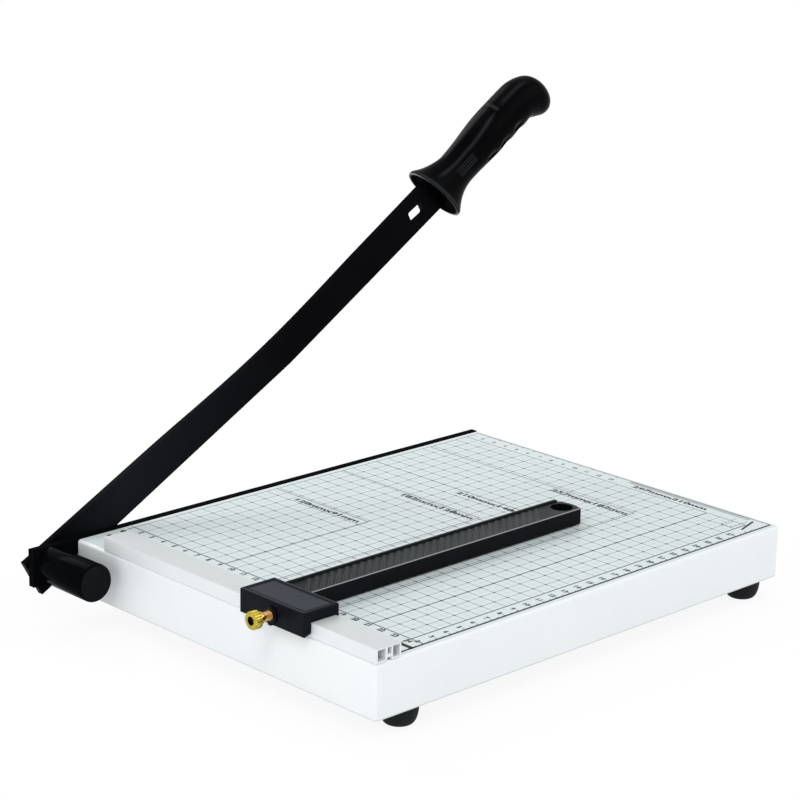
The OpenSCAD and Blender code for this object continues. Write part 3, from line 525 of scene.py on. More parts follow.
rail = box("rail_extrusion", *zip(RAIL_X, RAIL_Y, RAIL_Z))
carve(rail, *[box("cell", (x0, RAIL_Y[0] - 1, BED_Z + low), (x1, RAIL_Y[1] + 1, BED_Z + high))
              for x0, x1, low, high in RAIL_CELLS])
soften(close(rail), 0.15)
carve(rail, *[rod("screw_way", (RAIL_SCREW_X, y, BED_Z + 1), "Z", 3, RAIL_SCREW_R, sides=32) for y in RAIL_SCREW_Y])
even_shading(rail)
stands_for(rail, "paper_rail", "base", aluminium)


# Pivot: a moulded cap over the spring, a carriage bolt with a domed head, a bronze bush and zinc-plated hardware.
# The cap is pushed over a steel cup; a faint ring on its end shows where it left the mould.
PIVOT_X, PIVOT_Z = -34.5, 33.0
CAP_R, CAP_WALL, CAP_Y = 11.0, 2.0, (-46.0, -4.5)
CAP_LEN = CAP_Y[1] - CAP_Y[0]
RING_EDGE, RING_WIDE, RING_DEEP = 2.8, 0.3, 0.18
moulded_cap = Finish("gloss_moulding", (4, 5, 7), (7, 8, 10), (0.08, 0.12), 0.9, 30, 0.002,
                     Specular_IOR_Level=0.004)
# Painted sheen: the cap's closed end is painted lighter than its side, for the light that the end catches.
moulded_cap.tint_within((24, 25, 28), 0.3, y=(None, CAP_Y[0] + 0.3))
cap = rod("spring_cap", (PIVOT_X, CAP_Y[0], PIVOT_Z), "Y", CAP_LEN, CAP_R, sides=96)
edit_faces(cap, lambda normal: normal.y < -0.9)
step_in(RING_EDGE)
step_in(RING_WIDE, 0, RING_DEEP, 0)
step_in(RING_WIDE, 0, -RING_DEEP, 0)
edit_faces(cap, lambda normal: normal.y > 0.9)
step_in(CAP_WALL)
pull(0, CAP_WALL - CAP_LEN, 0)


def on_cap_edge(spot, y):
    """Whether a corner lies on the cap's outer edge at one of its ends."""
    return abs(spot.y - y) < 0.01 and abs(math.hypot(spot.x - PIVOT_X, spot.z - PIVOT_Z) - CAP_R) < 0.05


for y, radius, segments in ((CAP_Y[0], 2.0, 6), (CAP_Y[1], 0.8, 2)):
    round_edges(cap, lambda a, b: on_cap_edge(a, y) and on_cap_edge(b, y), radius, segments)
smooth_by_angle(close(cap), 35)
stands_for(cap, "spring_housing", "base", moulded_cap)

zinc = Finish("zinc_plate", (184, 187, 192), (164, 168, 174), (0.28, 0.42), 0.5, 6, 0.004, Metallic=1.0)
bronze = Finish("sintered_bronze", (176, 132, 74), (150, 108, 58), (0.4, 0.52), 0.35, 5, 0.008, Metallic=1.0)
paint(dark_steel, "pivot_bolt")
paint(bronze, "pivot_bush")
paint(zinc, "spring_cup", "pivot_spring", "pivot_washer", "pivot_nut", "knife_nuts", "rail_screws",
      "foot_screws", "foot_nuts", "lock_guide", "guide_screws", "lock_bolt")


# Feet: four domed feet of black rubber under the corners of the tray, moulded with a flat to stand on.
# Each is held to the flange by a screw sunk in its middle.
rubber = Finish("black_rubber", (21, 22, 25), (29, 30, 34), (0.6, 0.78), 0.35, 7, 0.02, Specular_IOR_Level=0.16)
paint(rubber, "foot_near_left", "foot_near_right", "foot_far_left", "foot_far_right")


# Knife arm: a steel plate painted satin black, with a hollow back, ground bare along its lower edge on the outer side.
# A slot near the handle takes the lock's bolt, a tang runs on into the handle, and a painted sheen lightens the paint
# towards the pivot.
ARM_LIFT = math.radians(28.9)
ARM_INNER_Y, ARM_OUTER_Y = 0.3, 4.3
ARM_MID_Y = (ARM_INNER_Y + ARM_OUTER_Y) / 2
ARM_BACK, ARM_LEN, ARM_BEND = 12.0, 347.0, 200.0
ARM_TOP, ARM_LOW, FRONT_WIDTH = 9.2, 14.7, 22.6
BEND_RISE = math.tan(math.radians(3.4))
GRIND_FROM, GRIND_HIGH, EDGE_THICK = 20.0, 7.0, 0.6
EDGE_FRONT = -ARM_LOW + (ARM_LEN - ARM_BEND) * BEND_RISE
TOP_FRONT = EDGE_FRONT + FRONT_WIDTH
ARM_MID = EDGE_FRONT + FRONT_WIDTH / 2
GRIP_MID = ARM_MID - 1.7
GUARD_LEAN = math.radians(20)
GUARD_DISH = 1.8
SLOT_S, SLOT_N, SLOT_HALF_LONG, SLOT_HALF_HIGH = 328.0, ARM_MID - 1.6, 6, 4
NECK_HALF = 4.1
TANG_LEN, TANG_HIGH, TANG_RISE = 60.0, 13.0, 3.5


def mix(a, b, t):
    return a + (b - a) * t


def clamp(t):
    return min(1.0, max(0.0, t))


def ease(t):
    return t * t * (3 - 2 * t)


def on_arm(s, y, n):
    """A point of the raised arm: s along it and n across it from the pivot."""
    return at(PIVOT_X + s * math.cos(ARM_LIFT) - n * math.sin(ARM_LIFT), y,
              PIVOT_Z + s * math.sin(ARM_LIFT) + n * math.cos(ARM_LIFT))


def arm_edge(s):
    return -ARM_LOW + max(0.0, s - ARM_BEND) * BEND_RISE


def arm_back(s):
    behind = ARM_TOP - s * math.tan(math.radians(0.9))
    front = TOP_FRONT - (ARM_LEN - s) * math.tan(math.radians(4))
    return mix(behind, front, ease(clamp((s - 90) / 190)))


COLUMNS, ROWS = 72, 8
STATIONS = ((0, -ARM_BACK), (4, GRIND_FROM), (30, ARM_BEND), (COLUMNS, ARM_LEN))


def arm_station(column):
    """Length along the arm at a column of the plate's grid."""
    for (i, s), (j, r) in zip(STATIONS, STATIONS[1:]):
        if column <= j:
            return mix(s, r, (column - i) / (j - i))


def arm_point(column, row):
    """Point of the plate: row 0 is the cutting edge, row 2 the top of the grind, the last row the back."""
    s = arm_station(column)
    low, high = arm_edge(s), arm_back(s)
    line = low + GRIND_HIGH
    n = mix(low, line, row / 2) if row <= 2 else mix(line, high, (row - 2) / (ROWS - 2))
    end = ARM_LEN + GUARD_DISH / math.cos(GUARD_LEAN) - (n - GRIP_MID) * math.tan(GUARD_LEAN) + 0.2
    if s > ARM_BEND:
        s = mix(ARM_BEND, end, (s - ARM_BEND) / (ARM_LEN - ARM_BEND))
    return s, n


def grid(name, columns, rows):
    """Starts a piece as a flat grid, from -1 to 1 both ways."""
    fresh_start()
    bpy.ops.mesh.primitive_grid_add(x_subdivisions=columns, y_subdivisions=rows, size=2)
    return settle(name)


def move_corners(piece, moved):
    """Moves every corner of a piece to where a function of its old place puts it, both in metres."""
    fresh_start()
    for corner in piece.data.vertices:
        corner.co = moved(corner.co)
    piece.data.update()


def plate_corner(spot):
    """Where a corner of the flat grid goes on the inner face of the raised plate."""
    s, n = arm_point(round((spot.x + 1) / 2 * COLUMNS), round((spot.y + 1) / 2 * ROWS))
    return on_arm(s, ARM_INNER_Y, n)


def ground_corner(spot):
    """Moves a corner of the outer face inwards where the cutting edge is ground."""
    outer = at(0, ARM_OUTER_Y, 0).y
    flat = Matrix.Rotation(ARM_LIFT, 4, "Y") @ (spot - at(PIVOT_X, 0, PIVOT_Z)) * 1000
    grind = (flat.z - arm_edge(flat.x)) / GRIND_HIGH
    if spot.y > outer - 0.0001 and flat.x > GRIND_FROM + 0.01 and grind < 0.99:
        spot.y = mix(at(0, ARM_INNER_Y + EDGE_THICK, 0).y, outer, grind)
    return spot


def arm_block(name, s0, s1, n0, n1, y0=-2.0, y1=8.0, rise=0.0):
    """A block through the arm's thickness, square to the raised arm, whose far end may stand higher."""
    def raised(spot):
        u, y, w = spot * 1000 - bed_shift
        return on_arm(mix(s0, s1, u), y, mix(n0, n1, w) + rise * u)

    tool = box(name, (0, y0, 0), (1, y1, 1))
    move_corners(tool, raised)
    return tool


arm = grid("knife_plate", COLUMNS, ROWS)
move_corners(arm, plate_corner)
edit_faces(arm, lambda normal: True)
pull(0, ARM_OUTER_Y - ARM_INNER_Y, 0)
move_corners(arm, ground_corner)
soften(close(arm), 0.2)
slot_tool = arm_block("slot", SLOT_S - SLOT_HALF_LONG, SLOT_S + SLOT_HALF_LONG,
                      SLOT_N - SLOT_HALF_HIGH, SLOT_N + SLOT_HALF_HIGH)
round_edges(slot_tool, lambda a, b: abs(a.y - b.y) > 5, 1.2, 4)
tang = arm_block("tang", ARM_LEN - 2, ARM_LEN + TANG_LEN, ARM_MID - TANG_HIGH / 2, ARM_MID + TANG_HIGH / 2,
                 ARM_INNER_Y, ARM_OUTER_Y, TANG_RISE)
carve(arm, tang, operation="UNION")
carve(arm, slot_tool, arm_block("neck", -NECK_HALF, NECK_HALF, -NECK_HALF, NECK_HALF))
even_shading(arm)
edge_way = Vector((math.sin(ARM_LIFT), 0, -math.cos(ARM_LIFT)))
edit_faces(arm, lambda normal: False)
mesh = bmesh.from_edit_mesh(arm.data)
ground, back_edge = [mesh.faces.layers.float.new(name) for name in ("ground", "back_edge")]
for face in mesh.faces:
    downwards = face.normal.dot(edge_way)
    face[ground] = 1.0 if 0.8 < face.normal.y < 0.96 and downwards > 0.25 else 0.0
    face[back_edge] = 1.0 if downwards < -0.5 else 0.0
bmesh.update_edit_mesh(arm.data)


def own_mask(finish, name):
    """A mask that the piece itself carries as an attribute."""
    return add_node(finish.tree, "Attribute", attribute_name=name).outputs["Fac"]


def dull_where(finish, name):
    """Makes a finish rough where the piece's own mask is 1."""
    rough = finish.inputs["Roughness"].links[0].from_socket
    dull = spread(finish.tree, own_mask(finish, name), 0.0, 0.85)
    finish.set("Roughness", calc(finish.tree, "MAXIMUM", rough, dull))


black_steel = Finish("black_paint", (5, 5, 7), (8, 8, 11), (0.28, 0.42), 0.7, 25, 0.012, Specular_IOR_Level=0.014)
# Painted sheen: the black paint is painted lighter towards the pivot, then back to near black around the pivot itself.
black_steel.tint_within((30, 31, 36), 160, x=(None, -10))
black_steel.tint_within((8, 8, 10), 44, x=(None, -26))
dull_where(black_steel, "back_edge")
bare = own_mask(black_steel, "ground")
black_steel.tint(bare, (176, 179, 184))
black_steel.set("Metallic", bare)
stands_for(arm, "knife_arm", "arm", black_steel)


# Handle: one moulded grip over the tang, from a dished oval guard through a neck to a drooping pommel.
# A sunk panel runs along its back, with fine ribs and finger scoops on both sides and grooves underneath.
HANDLE_LEN = 111.3
GUARD_HALF_HIGH, GUARD_HALF_WIDE, GUARD_RIM = 24.0, 13.0, 2.2
NECK_HALF_HIGH, NECK_HALF_WIDE = 13.2, 10.5
GRIP_HALF_HIGH, GRIP_HALF_WIDE = 14.3, 12.8
GRIP_RISE, POMMEL_DROP = 9.5, 12.0
CROWN_AT, FLARE_AT, DOME_AT = 0.772, 0.232, 0.892
PANEL_DEPTH, GROOVE_DEPTH, RIB_HIGH, SCOOP_DEPTH = 0.8, 1.1, 0.45, 1.2
RIM_AT = GUARD_RIM / HANDLE_LEN


def grip_line(t):
    if t < CROWN_AT:
        return GRIP_RISE * mix(t / CROWN_AT, math.sin(math.pi / 2 * t / CROWN_AT), 0.4)
    return GRIP_RISE - POMMEL_DROP * ((t - CROWN_AT) / (1 - CROWN_AT)) ** 2


def grip_half(t, guard, neck, middle):
    """Half size of the grip's section at a share t of its length."""
    flare = (1 - clamp((t - RIM_AT) / (FLARE_AT - RIM_AT))) ** 2.2
    swell = ease(clamp((t - FLARE_AT) / 0.3))
    dome = math.sqrt(max(0.0, 1 - clamp((t - DOME_AT) / (1 - DOME_AT)) ** 2))
    return mix(mix(neck, middle, swell), guard, flare) * dome


def grip_lean(t):
    return GUARD_LEAN * (1 - ease(clamp(t / 0.45))) - math.radians(11) * ease(clamp((t - 0.65) / 0.35))


def window(x, low, high, soft):
    """1 between low and high, easing to 0 over a soft edge outside."""
    return ease(clamp((x - low) / soft + 1)) * ease(clamp((high - x) / soft + 1))


RIB_ANGLES = (-25, -18, -11, -4)
RIB_SPAN = (0.165, 0.295, 0.012)
SCOOPS = ((0.42, 34), (0.535, 31), (0.66, 26))
SCOOP_LONG, SCOOP_TURN, SCOOP_EASE = 0.047, 15, 0.35
GROOVE_FROM, GROOVE_SPAN, GROOVES = 0.5, 0.36, 3
PANEL_END = 0.595


def panel_edge(t):
    """Height of the panel's long edges, as a sine of the angle up from the side."""
    return mix(0.72, 0.88, ease(clamp((t - 0.3) / 0.3)))


def degrees_below(angle):
    """Degrees below the grip's side, at an angle round its section."""
    return -math.degrees(math.asin(max(-1.0, min(1.0, math.sin(angle)))))


def bell(x, centre, width):
    """1 at a centre, falling off smoothly on both sides."""
    return math.exp(-(((x - centre) / width) ** 2))


def scoop_depth(t, below, centre, turn):
    """Depth of a finger scoop, from 0 at its rim to 1 on its floor."""
    away = math.hypot((t - centre) / SCOOP_LONG, (below - turn) / SCOOP_TURN)
    return ease(clamp((1.0 - away) / SCOOP_EASE))


def grip_detail(t, angle):
    """Height of the moulded details above the plain grip, at an angle up from the side."""
    below = degrees_below(angle)
    panel = window(math.sin(angle), panel_edge(t), 2.0, 0.06) * ease(clamp((t - 0.1) / 0.14))
    high = -PANEL_DEPTH * panel * window(t, 0.0, PANEL_END - 0.03, 0.04)
    high += RIB_HIGH * sum(bell(below, rib, 2.0) for rib in RIB_ANGLES) * window(t, *RIB_SPAN)
    return high - SCOOP_DEPTH * sum(scoop_depth(t, below, *scoop) for scoop in SCOOPS)


def grip_rub(t, angle):
    """How much painted highlight lies on the grip: along its ridges, at the panel's end, on the ribs, at the guard and
    in the scoops.
    """
    up, below = math.sin(angle), degrees_below(angle)
    highlight_share = 0.65 * bell(up, panel_edge(t) - 0.04, 0.06) * window(t, 0.12, 0.5, 0.08)
    highlight_share += window(up, 0.84, 2.0, 0.04) * bell(t, PANEL_END, 0.008)
    highlight_share += 0.5 * bell(up, 0.87, 0.05) * window(t, 0.68, 0.8, 0.08)
    highlight_share += 0.8 * sum(bell(below, rib, 1.4) for rib in RIB_ANGLES) * window(t, *RIB_SPAN)
    highlight_share += bell(t, 0.012, 0.008)
    highlight_share += sum(scoop_depth(t, below, *scoop) * window(below, -90, scoop[1] + 2, 6) for scoop in SCOOPS)
    return clamp(highlight_share)


def grip_point(t, angle):
    """A point of the grip's skin, from the guard's front at t = 0 to the pommel's tip at t = 1."""
    along = (t - GROOVE_FROM) / GROOVE_SPAN
    groove = GROOVE_DEPTH * (0.5 - 0.5 * math.cos(2 * math.pi * GROOVES * along)) if 0 < along < 1 else 0.0
    high = grip_half(t, GUARD_HALF_HIGH, NECK_HALF_HIGH, GRIP_HALF_HIGH)
    wide = grip_half(t, GUARD_HALF_WIDE, NECK_HALF_WIDE, GRIP_HALF_WIDE)
    detail = grip_detail(t, angle) if 0.1 < t < 0.86 else 0.0
    n = (high + detail) * math.sin(angle)
    if n < 0:
        n *= 1 + groove / GRIP_HALF_HIGH * math.sin(angle)
    lean = grip_lean(t)
    return Vector((t * HANDLE_LEN - n * math.sin(lean), (wide + detail) * math.cos(angle),
                   grip_line(t) + n * math.cos(lean)))


# Rows of the grip's skin: shares of the guard's front with their depth, then shares of the grip's length
DISH = ((0.0, 1.0), (0.35, 1.0), (0.7, 1.0), (0.77, 0.97), (0.8, 0.86), (0.825, 0.62), (0.85, 0.3), (0.87, 0.1),
        (0.89, 0.0), (0.95, 0.0), (0.985, 0.05))
DISH_EDGE, NECK_AT = 0.93, 0.19
GRIP_T = [0.002, 0.005, 0.011, 0.016] + [RIM_AT + 0.0035 * i for i in range(1, 16)]
GRIP_T += [mix(GRIP_T[-1], NECK_AT, i / 14) for i in range(1, 15)]
GRIP_T += [mix(NECK_AT, DOME_AT, i / 96) for i in range(1, 97)]
GRIP_T += [DOME_AT + (1 - DOME_AT) * math.sin(math.pi / 2 * i / 16) for i in range(1, 17)]
GRIP_SIDES, GRIP_ROWS = 192, len(DISH) + len(GRIP_T) - 1

grip = grid("moulded_grip", GRIP_SIDES, GRIP_ROWS)
bpy.ops.object.mode_set(mode="EDIT")
mesh = bmesh.from_edit_mesh(grip.data)
dish_way = Vector((math.cos(GUARD_LEAN), 0, math.sin(GUARD_LEAN)))
painted_highlights, dished = [mesh.verts.layers.float.new(name) for name in ("painted_highlights", "dished")]
for vert in mesh.verts:
    angle = math.pi * (vert.co.x + 1)
    row = round((vert.co.y + 1) / 2 * GRIP_ROWS)
    if row < len(DISH):
        share, depth = DISH[row]
        skin_point = grip_point(0, angle) * share + dish_way * GUARD_DISH * depth
        vert[dished] = 1.0 if share < DISH_EDGE else 0.0
        # The guard's front rim gets a painted highlight, with two painted glints near its top and bottom.
        vert[painted_highlights] = 1.0 + 0.9 * math.sin(angle) ** 6 if share > DISH_EDGE else 0.0
    else:
        t = GRIP_T[row - len(DISH)]
        skin_point = grip_point(t, angle)
        vert[painted_highlights] = grip_rub(t, angle)
        if t < 0.004:
            skin_point *= 0.997
    vert.co = on_arm(ARM_LEN + skin_point.x, ARM_MID_Y + skin_point.y, GRIP_MID + skin_point.z)
bmesh.update_edit_mesh(grip.data)
smooth_by_angle(close(grip), 50)
moulded_grip = Finish("grip_moulding", (4, 4, 5), (7, 7, 9), (0.2, 0.3), 0.55, 22, 0.006, Specular_IOR_Level=0.014)
# Painted highlights: the grip's ridges, panel end, ribs, guard rim and scoops are painted paler, and the guard's rim
# carries two painted glints.
highlight_share = own_mask(moulded_grip, "painted_highlights")
moulded_grip.tint(highlight_share, (46, 47, 50))
moulded_grip.tint(spread(moulded_grip.tree, highlight_share, 0.0, 1.0, 1.0, 2.0), (170, 171, 173))
dull_where(moulded_grip, "dished")
stands_for(grip, "handle", "arm", moulded_grip)


# Guide block: a moulded saddle over the rail, with a raised rim round its top and a boss for the thumb screw.
# Its skirt hangs outside the rail with rounded lower corners, and a short lip inside carries the bar.
BLOCK_X, BLOCK_Y, BLOCK_Z = (-22.0, 2.2), (-204.0, -153.0), (44.9, 58.2)
TOP_RIM, RIM_SLOPE, RIM_HIGH = 1.8, 0.4, 0.5
TOP_GROOVE, PANEL_SLOPE, PANEL_HIGH = 1.0, 0.6, 0.2
BLOCK_ROUND, SKIRT_ROUND = 0.9, 2.6
THUMB_Y, THUMB_Z = -178.5, 50.4
BOSS_LEN, BOSS_WALL, WEB_HALF = 1.5, 1.2, 1.2
CLEAR_X, CLEAR_Z = (-17.3, 0.3), 52.3
INSERT_R, POCKET_X, POCKET_R = 3.5, -20.0, 3.4
BAR_Y = (-175.5, -153.5)
BAR_SCREW_Y, BAR_SCREW_Z, BAR_SCREW_R = (-170.0, -159.0), 48.6, 1.65
guide_plastic = Finish("guide_moulding", (14, 16, 23), (19, 21, 28), (0.2, 0.32), 0.8, 18, 0.006,
                       Specular_IOR_Level=0.045)
# Painted highlight: the rim's top is painted lighter.
guide_plastic.tint_within((30, 33, 40), 0.15, y=(BLOCK_Y[0] + 2.2, None), z=(BLOCK_Z[1] - 0.25, None))
# Painted reflection: the sunk top panel is painted lighter, for the sky it reflects.
guide_plastic.tint_within((47, 51, 59), 0.4, x=(BLOCK_X[0] + 2.2, BLOCK_X[1] - 2.2),
                          y=(BLOCK_Y[0] + 3.2, BLOCK_Y[1] - 2.2), z=(57, None))
# Painted shade: the groove round the panel is painted darker than the block.
guide_plastic.tint_within((9, 10, 13), 0.06, x=(BLOCK_X[0] + 2, BLOCK_X[1] - 2),
                          y=(BLOCK_Y[0] + 2, BLOCK_Y[1] - 2), z=(57, 57.78))


def on_upper_edge(spot):
    """Whether a corner lies on the block's outer upper edge, outside the raised rim's inner side."""
    inside = BLOCK_X[0] + 1.5 < spot.x < BLOCK_X[1] - 1.5 and BLOCK_Y[0] + 1.5 < spot.y < BLOCK_Y[1] - 1.5
    return spot.z > BLOCK_Z[1] - 0.01 and not inside


def under_skirt(a, b):
    """Whether an edge runs across the skirt's lower end."""
    return abs(a.x - b.x) > 3 and max(a.x, b.x) < CLEAR_X[0] + 0.1 and max(a.z, b.z) < BLOCK_Z[0] + 0.1


def on_thumb(x):
    """A point on the thumb screw's axis."""
    return (x, THUMB_Y, THUMB_Z)


saddle = box("guide_saddle", *zip(BLOCK_X, BLOCK_Y, BLOCK_Z))
edit_faces(saddle, lambda normal: normal.z > 0.9)
step_in(TOP_RIM)
step_in(RIM_SLOPE, 0, 0, -RIM_HIGH)
step_in(TOP_GROOVE)
step_in(PANEL_SLOPE, 0, 0, PANEL_HIGH)
round_edges(saddle, lambda a, b: abs(a.z - b.z) > 5 or on_upper_edge(a) and on_upper_edge(b), BLOCK_ROUND, 4)
carve(saddle, box("channel", (CLEAR_X[0], BLOCK_Y[0] - 1, BLOCK_Z[0] - 1), (CLEAR_X[1], BLOCK_Y[1] + 1, CLEAR_Z)),
      box("under_lip", (-1, BLOCK_Y[0] - 1, BLOCK_Z[0] - 1), (3.2, BAR_Y[0] - 0.5, BLOCK_Z[0] + 4)))
round_edges(saddle, under_skirt, SKIRT_ROUND, 5)
soften(close(saddle), 0.06)
boss_x = BLOCK_X[0] - BOSS_LEN
boss = soften(rod("boss", on_thumb(boss_x), "X", BOSS_LEN + 1, INSERT_R + BOSS_WALL, sides=64), 0.3)
web = box("web", (boss_x, THUMB_Y - WEB_HALF, BLOCK_Z[0]), (BLOCK_X[0] + 1, THUMB_Y + WEB_HALF, THUMB_Z))
carve(saddle, boss, web, operation="UNION")
carve(saddle, rod("bore", on_thumb(boss_x - 1), "X", POCKET_X - boss_x + 1.01, INSERT_R + 0.01, sides=64),
      rod("pocket", on_thumb(POCKET_X), "X", 4, POCKET_R, sides=64))
for y in BAR_SCREW_Y:
    carve(saddle, rod("screw_way", (-0.7, y, BAR_SCREW_Z), "X", 4, BAR_SCREW_R, sides=32),
          rod("screw_head", (0.3, y, BAR_SCREW_Z), "X", 1.3, 2.8, 1.5, sides=32))
even_shading(saddle)
stands_for(saddle, "guide_block", "guide", guide_plastic)


# Guide bar: a moulded channel over the bed with a lip along each side, low slanting ribs on its floor,
# a round finger recess near its bowed end, and a cored underside. Two screws fix it to the block.
# The rib crests and the near lip's top carry painted highlights, and the floor is painted lighter than the dark sides,
# as light from above falls on it.
BAR_X, BAR_Z = (2.2, 221.5), (44.9, 54.0)
BAR_LIP, BAR_FLOOR, BAR_END_R = 1.8, 53.0, 16.0
RECESS_X, RECESS_R, RECESS_DEPTH = 212.7, 6.6, 5.0
CORE_FROM, CORE_LEN, CORE_STEP, CORE_WALL = 22, 40, 42, 2
RIB_TALL, RIB_FOOT, RIB_CREST, RIB_STEP, RIB_SHORT = 0.35, 3.6, 2.0, 5.5, 1.4
bar_mid = (BAR_Y[0] + BAR_Y[1]) / 2
half_bar = (BAR_Y[1] - BAR_Y[0]) / 2
bow_centre = BAR_X[1] - BAR_END_R
straight_end = bow_centre + math.sqrt(BAR_END_R ** 2 - half_bar ** 2)
floor_low, floor_high = BAR_Y[0] + BAR_LIP, BAR_Y[1] - BAR_LIP
bar_plastic = Finish("bar_moulding", (10, 12, 16), (14, 16, 21), (0.24, 0.36), 0.8, 18, 0.006,
                     Specular_IOR_Level=0.05)
# Painted light: the floor and the rib crests are painted lighter, as lit from above, and the near lip's top carries a
# painted highlight.
bar_plastic.tint_within((17, 21, 24), 0.05, y=(floor_low, floor_high), z=(BAR_FLOOR - 0.05, None))
bar_plastic.tint_within((32, 38, 42), 0.1, y=(floor_low, floor_high), z=(BAR_FLOOR + 0.12, None))
bar_plastic.tint_within((136, 141, 144), 0.1, y=(None, BAR_Y[0] + 1.0), z=(BAR_Z[1] - 0.14, None))


def bowed_corner(spot):
    """Moves a corner of the bar's far end out to its round."""
    x, y, z = spot * 1000 - bed_shift
    if x > straight_end - 0.1:
        spot.x = at(bow_centre + math.sqrt(BAR_END_R ** 2 - (y - bar_mid) ** 2), 0, 0).x
    return spot


def slanted_corner(spot):
    """Leans a corner of a rib to 45 degrees across the bar."""
    spot.x += spot.y - at(0, bar_mid, 0).y
    return spot


bar = box("guide_channel", *zip((BAR_X[0], straight_end), BAR_Y, BAR_Z))
edit_edges(bar, lambda a, b: min(a.x, b.x) > straight_end - 0.1 and abs(a.y - b.y) > 5)
bpy.ops.mesh.subdivide(number_cuts=23)
move_corners(bar, bowed_corner)
hollow = box("hollow", (BAR_X[0] + BAR_LIP, floor_low, BAR_FLOOR), (230, floor_high, BAR_Z[1] + 1))
recess = rod("recess", (RECESS_X, bar_mid, BAR_FLOOR - RECESS_DEPTH), "Z", RECESS_DEPTH + 1, RECESS_R, sides=64)
carve(bar, hollow, recess)
round_edges(bar, lambda a, b: min(a.z, b.z) > BAR_Z[1] - 0.01, 0.3, 2)
soften(close(bar), 0.04)
core_x = BAR_X[0] + CORE_FROM
while core_x < RECESS_X - RECESS_R - CORE_STEP:
    carve(bar, box("core", (core_x, BAR_Y[0] + CORE_WALL, BAR_Z[0] - 1),
                   (core_x + CORE_LEN, BAR_Y[1] - CORE_WALL, BAR_FLOOR - CORE_WALL)))
    core_x += CORE_STEP
for y in BAR_SCREW_Y:
    carve(bar, rod("screw_hole", (BAR_X[0] - 1, y, BAR_SCREW_Z), "X", 15, BAR_SCREW_R - 0.1, sides=32))
even_shading(bar)

rib_x = BAR_X[0] + BAR_LIP + (floor_high - floor_low) / 2 + 2
rib = box("floor_rib", (rib_x - RIB_FOOT / 2, floor_low, BAR_FLOOR - 0.02),
          (rib_x + RIB_FOOT / 2, floor_high - RIB_SHORT, BAR_FLOOR + RIB_TALL))
edit_faces(rib, lambda normal: normal.z > 0.9)
bpy.ops.transform.resize(value=(RIB_CREST / RIB_FOOT, 1, 1), center_override=at(rib_x, bar_mid, BAR_FLOOR))
move_corners(rib, slanted_corner)
repeat(rib, int((RECESS_X - RECESS_R - 13 - rib_x) / RIB_STEP) + 1, RIB_STEP)
bar = join("guide_channel", [bar, rib])
stands_for(bar, "guide_bar", "guide", bar_plastic)


# Thumb screw: turned brass with a knurled knob, a socket in its end, a hub and a threaded stem.
# It turns in a darkened insert in the boss and presses a copper-coloured pad against the rail; its socket is painted
# dark, as the shade inside it.
KNOB_X, KNOB_R, KNOB_EDGE = (-36.1, -29.5), 5.0, 0.5
KNURLS, KNURL_SIDES, KNURL_DEPTH = 20, 6, 0.4
HUB_LEN, HUB_R = 1.8, KNOB_R - 1.4
SOCKET_R, SOCKET_DEPTH = 2.4, 3.0
THREAD_R, THREAD_PITCH, THREAD_DEPTH = 2.5, 0.8, 0.3
ROOT_R = THREAD_R - THREAD_DEPTH
THREAD = ((0.0, ROOT_R), (0.15, ROOT_R), (0.4, THREAD_R), (0.55, THREAD_R), (THREAD_PITCH, ROOT_R))
PAD_BACK_X, TIP_R = -19.0, 1.25
knob_end, stem_x = KNOB_X[1] - HUB_LEN, KNOB_X[1] - 0.3
turned, turned_in, turned_out = new_group("turning_marks", ["Scale"], ["Marks"])
along = add_node(turned, "SeparateXYZ", Vector=object_place(turned)).outputs["X"]
cut = add_node(turned, "TexNoise", noise_dimensions="1D", Scale=1.0, Detail=2.0,
               W=calc(turned, "MULTIPLY", along, turned_in.outputs["Scale"]))
feed(turned, turned_out.inputs["Marks"], cut.outputs[0])
brass = Finish("turned_brass", (206, 188, 84), (168, 148, 50), (0.12, 0.2), 0.3, 3, 0.003, Metallic=1.0)
brass.tint_within((204, 158, 96), 0.2, x=(knob_end, None))
tree = brass.tree
# Painted shade: the inside of the socket in the knob's end is painted dark.
from_axis = add_node(tree, "VectorMath", operation="SUBTRACT", Vector=object_place(tree))
from_axis.inputs[1].default_value = at(*on_thumb(KNOB_X[0] + SOCKET_DEPTH))
parts = add_node(tree, "SeparateXYZ", Vector=from_axis.outputs[0]).outputs
across = calc(tree, "SQRT", calc(tree, "ADD", *[calc(tree, "MULTIPLY", parts[axis], parts[axis]) for axis in "YZ"]))
socket_shade = calc(tree, "MULTIPLY", spread(tree, parts["X"], 1.0, 0.0, 0.00005, 0.0001),
                 spread(tree, across, 1.0, 0.0, (SOCKET_R + 0.02) / 1000, (SOCKET_R + 0.12) / 1000))
brass.tint(socket_shade, (96, 80, 18))
brass.relief(add_node(tree, "Group", node_tree=turned, Scale=9000).outputs["Marks"], 0.4, 0.01)


def knurled_corner(spot):
    """Sinks two of every six corners round the knob towards its axis."""
    x, y, z = spot * 1000 - bed_shift
    turn = math.atan2(z - THUMB_Z, y - THUMB_Y) / (2 * math.pi) * KNURL_SIDES * KNURLS
    if round(turn) % KNURL_SIDES in (0, 1):
        spot += (at(*on_thumb(x)) - spot) * (KNURL_DEPTH / KNOB_R)
    return spot


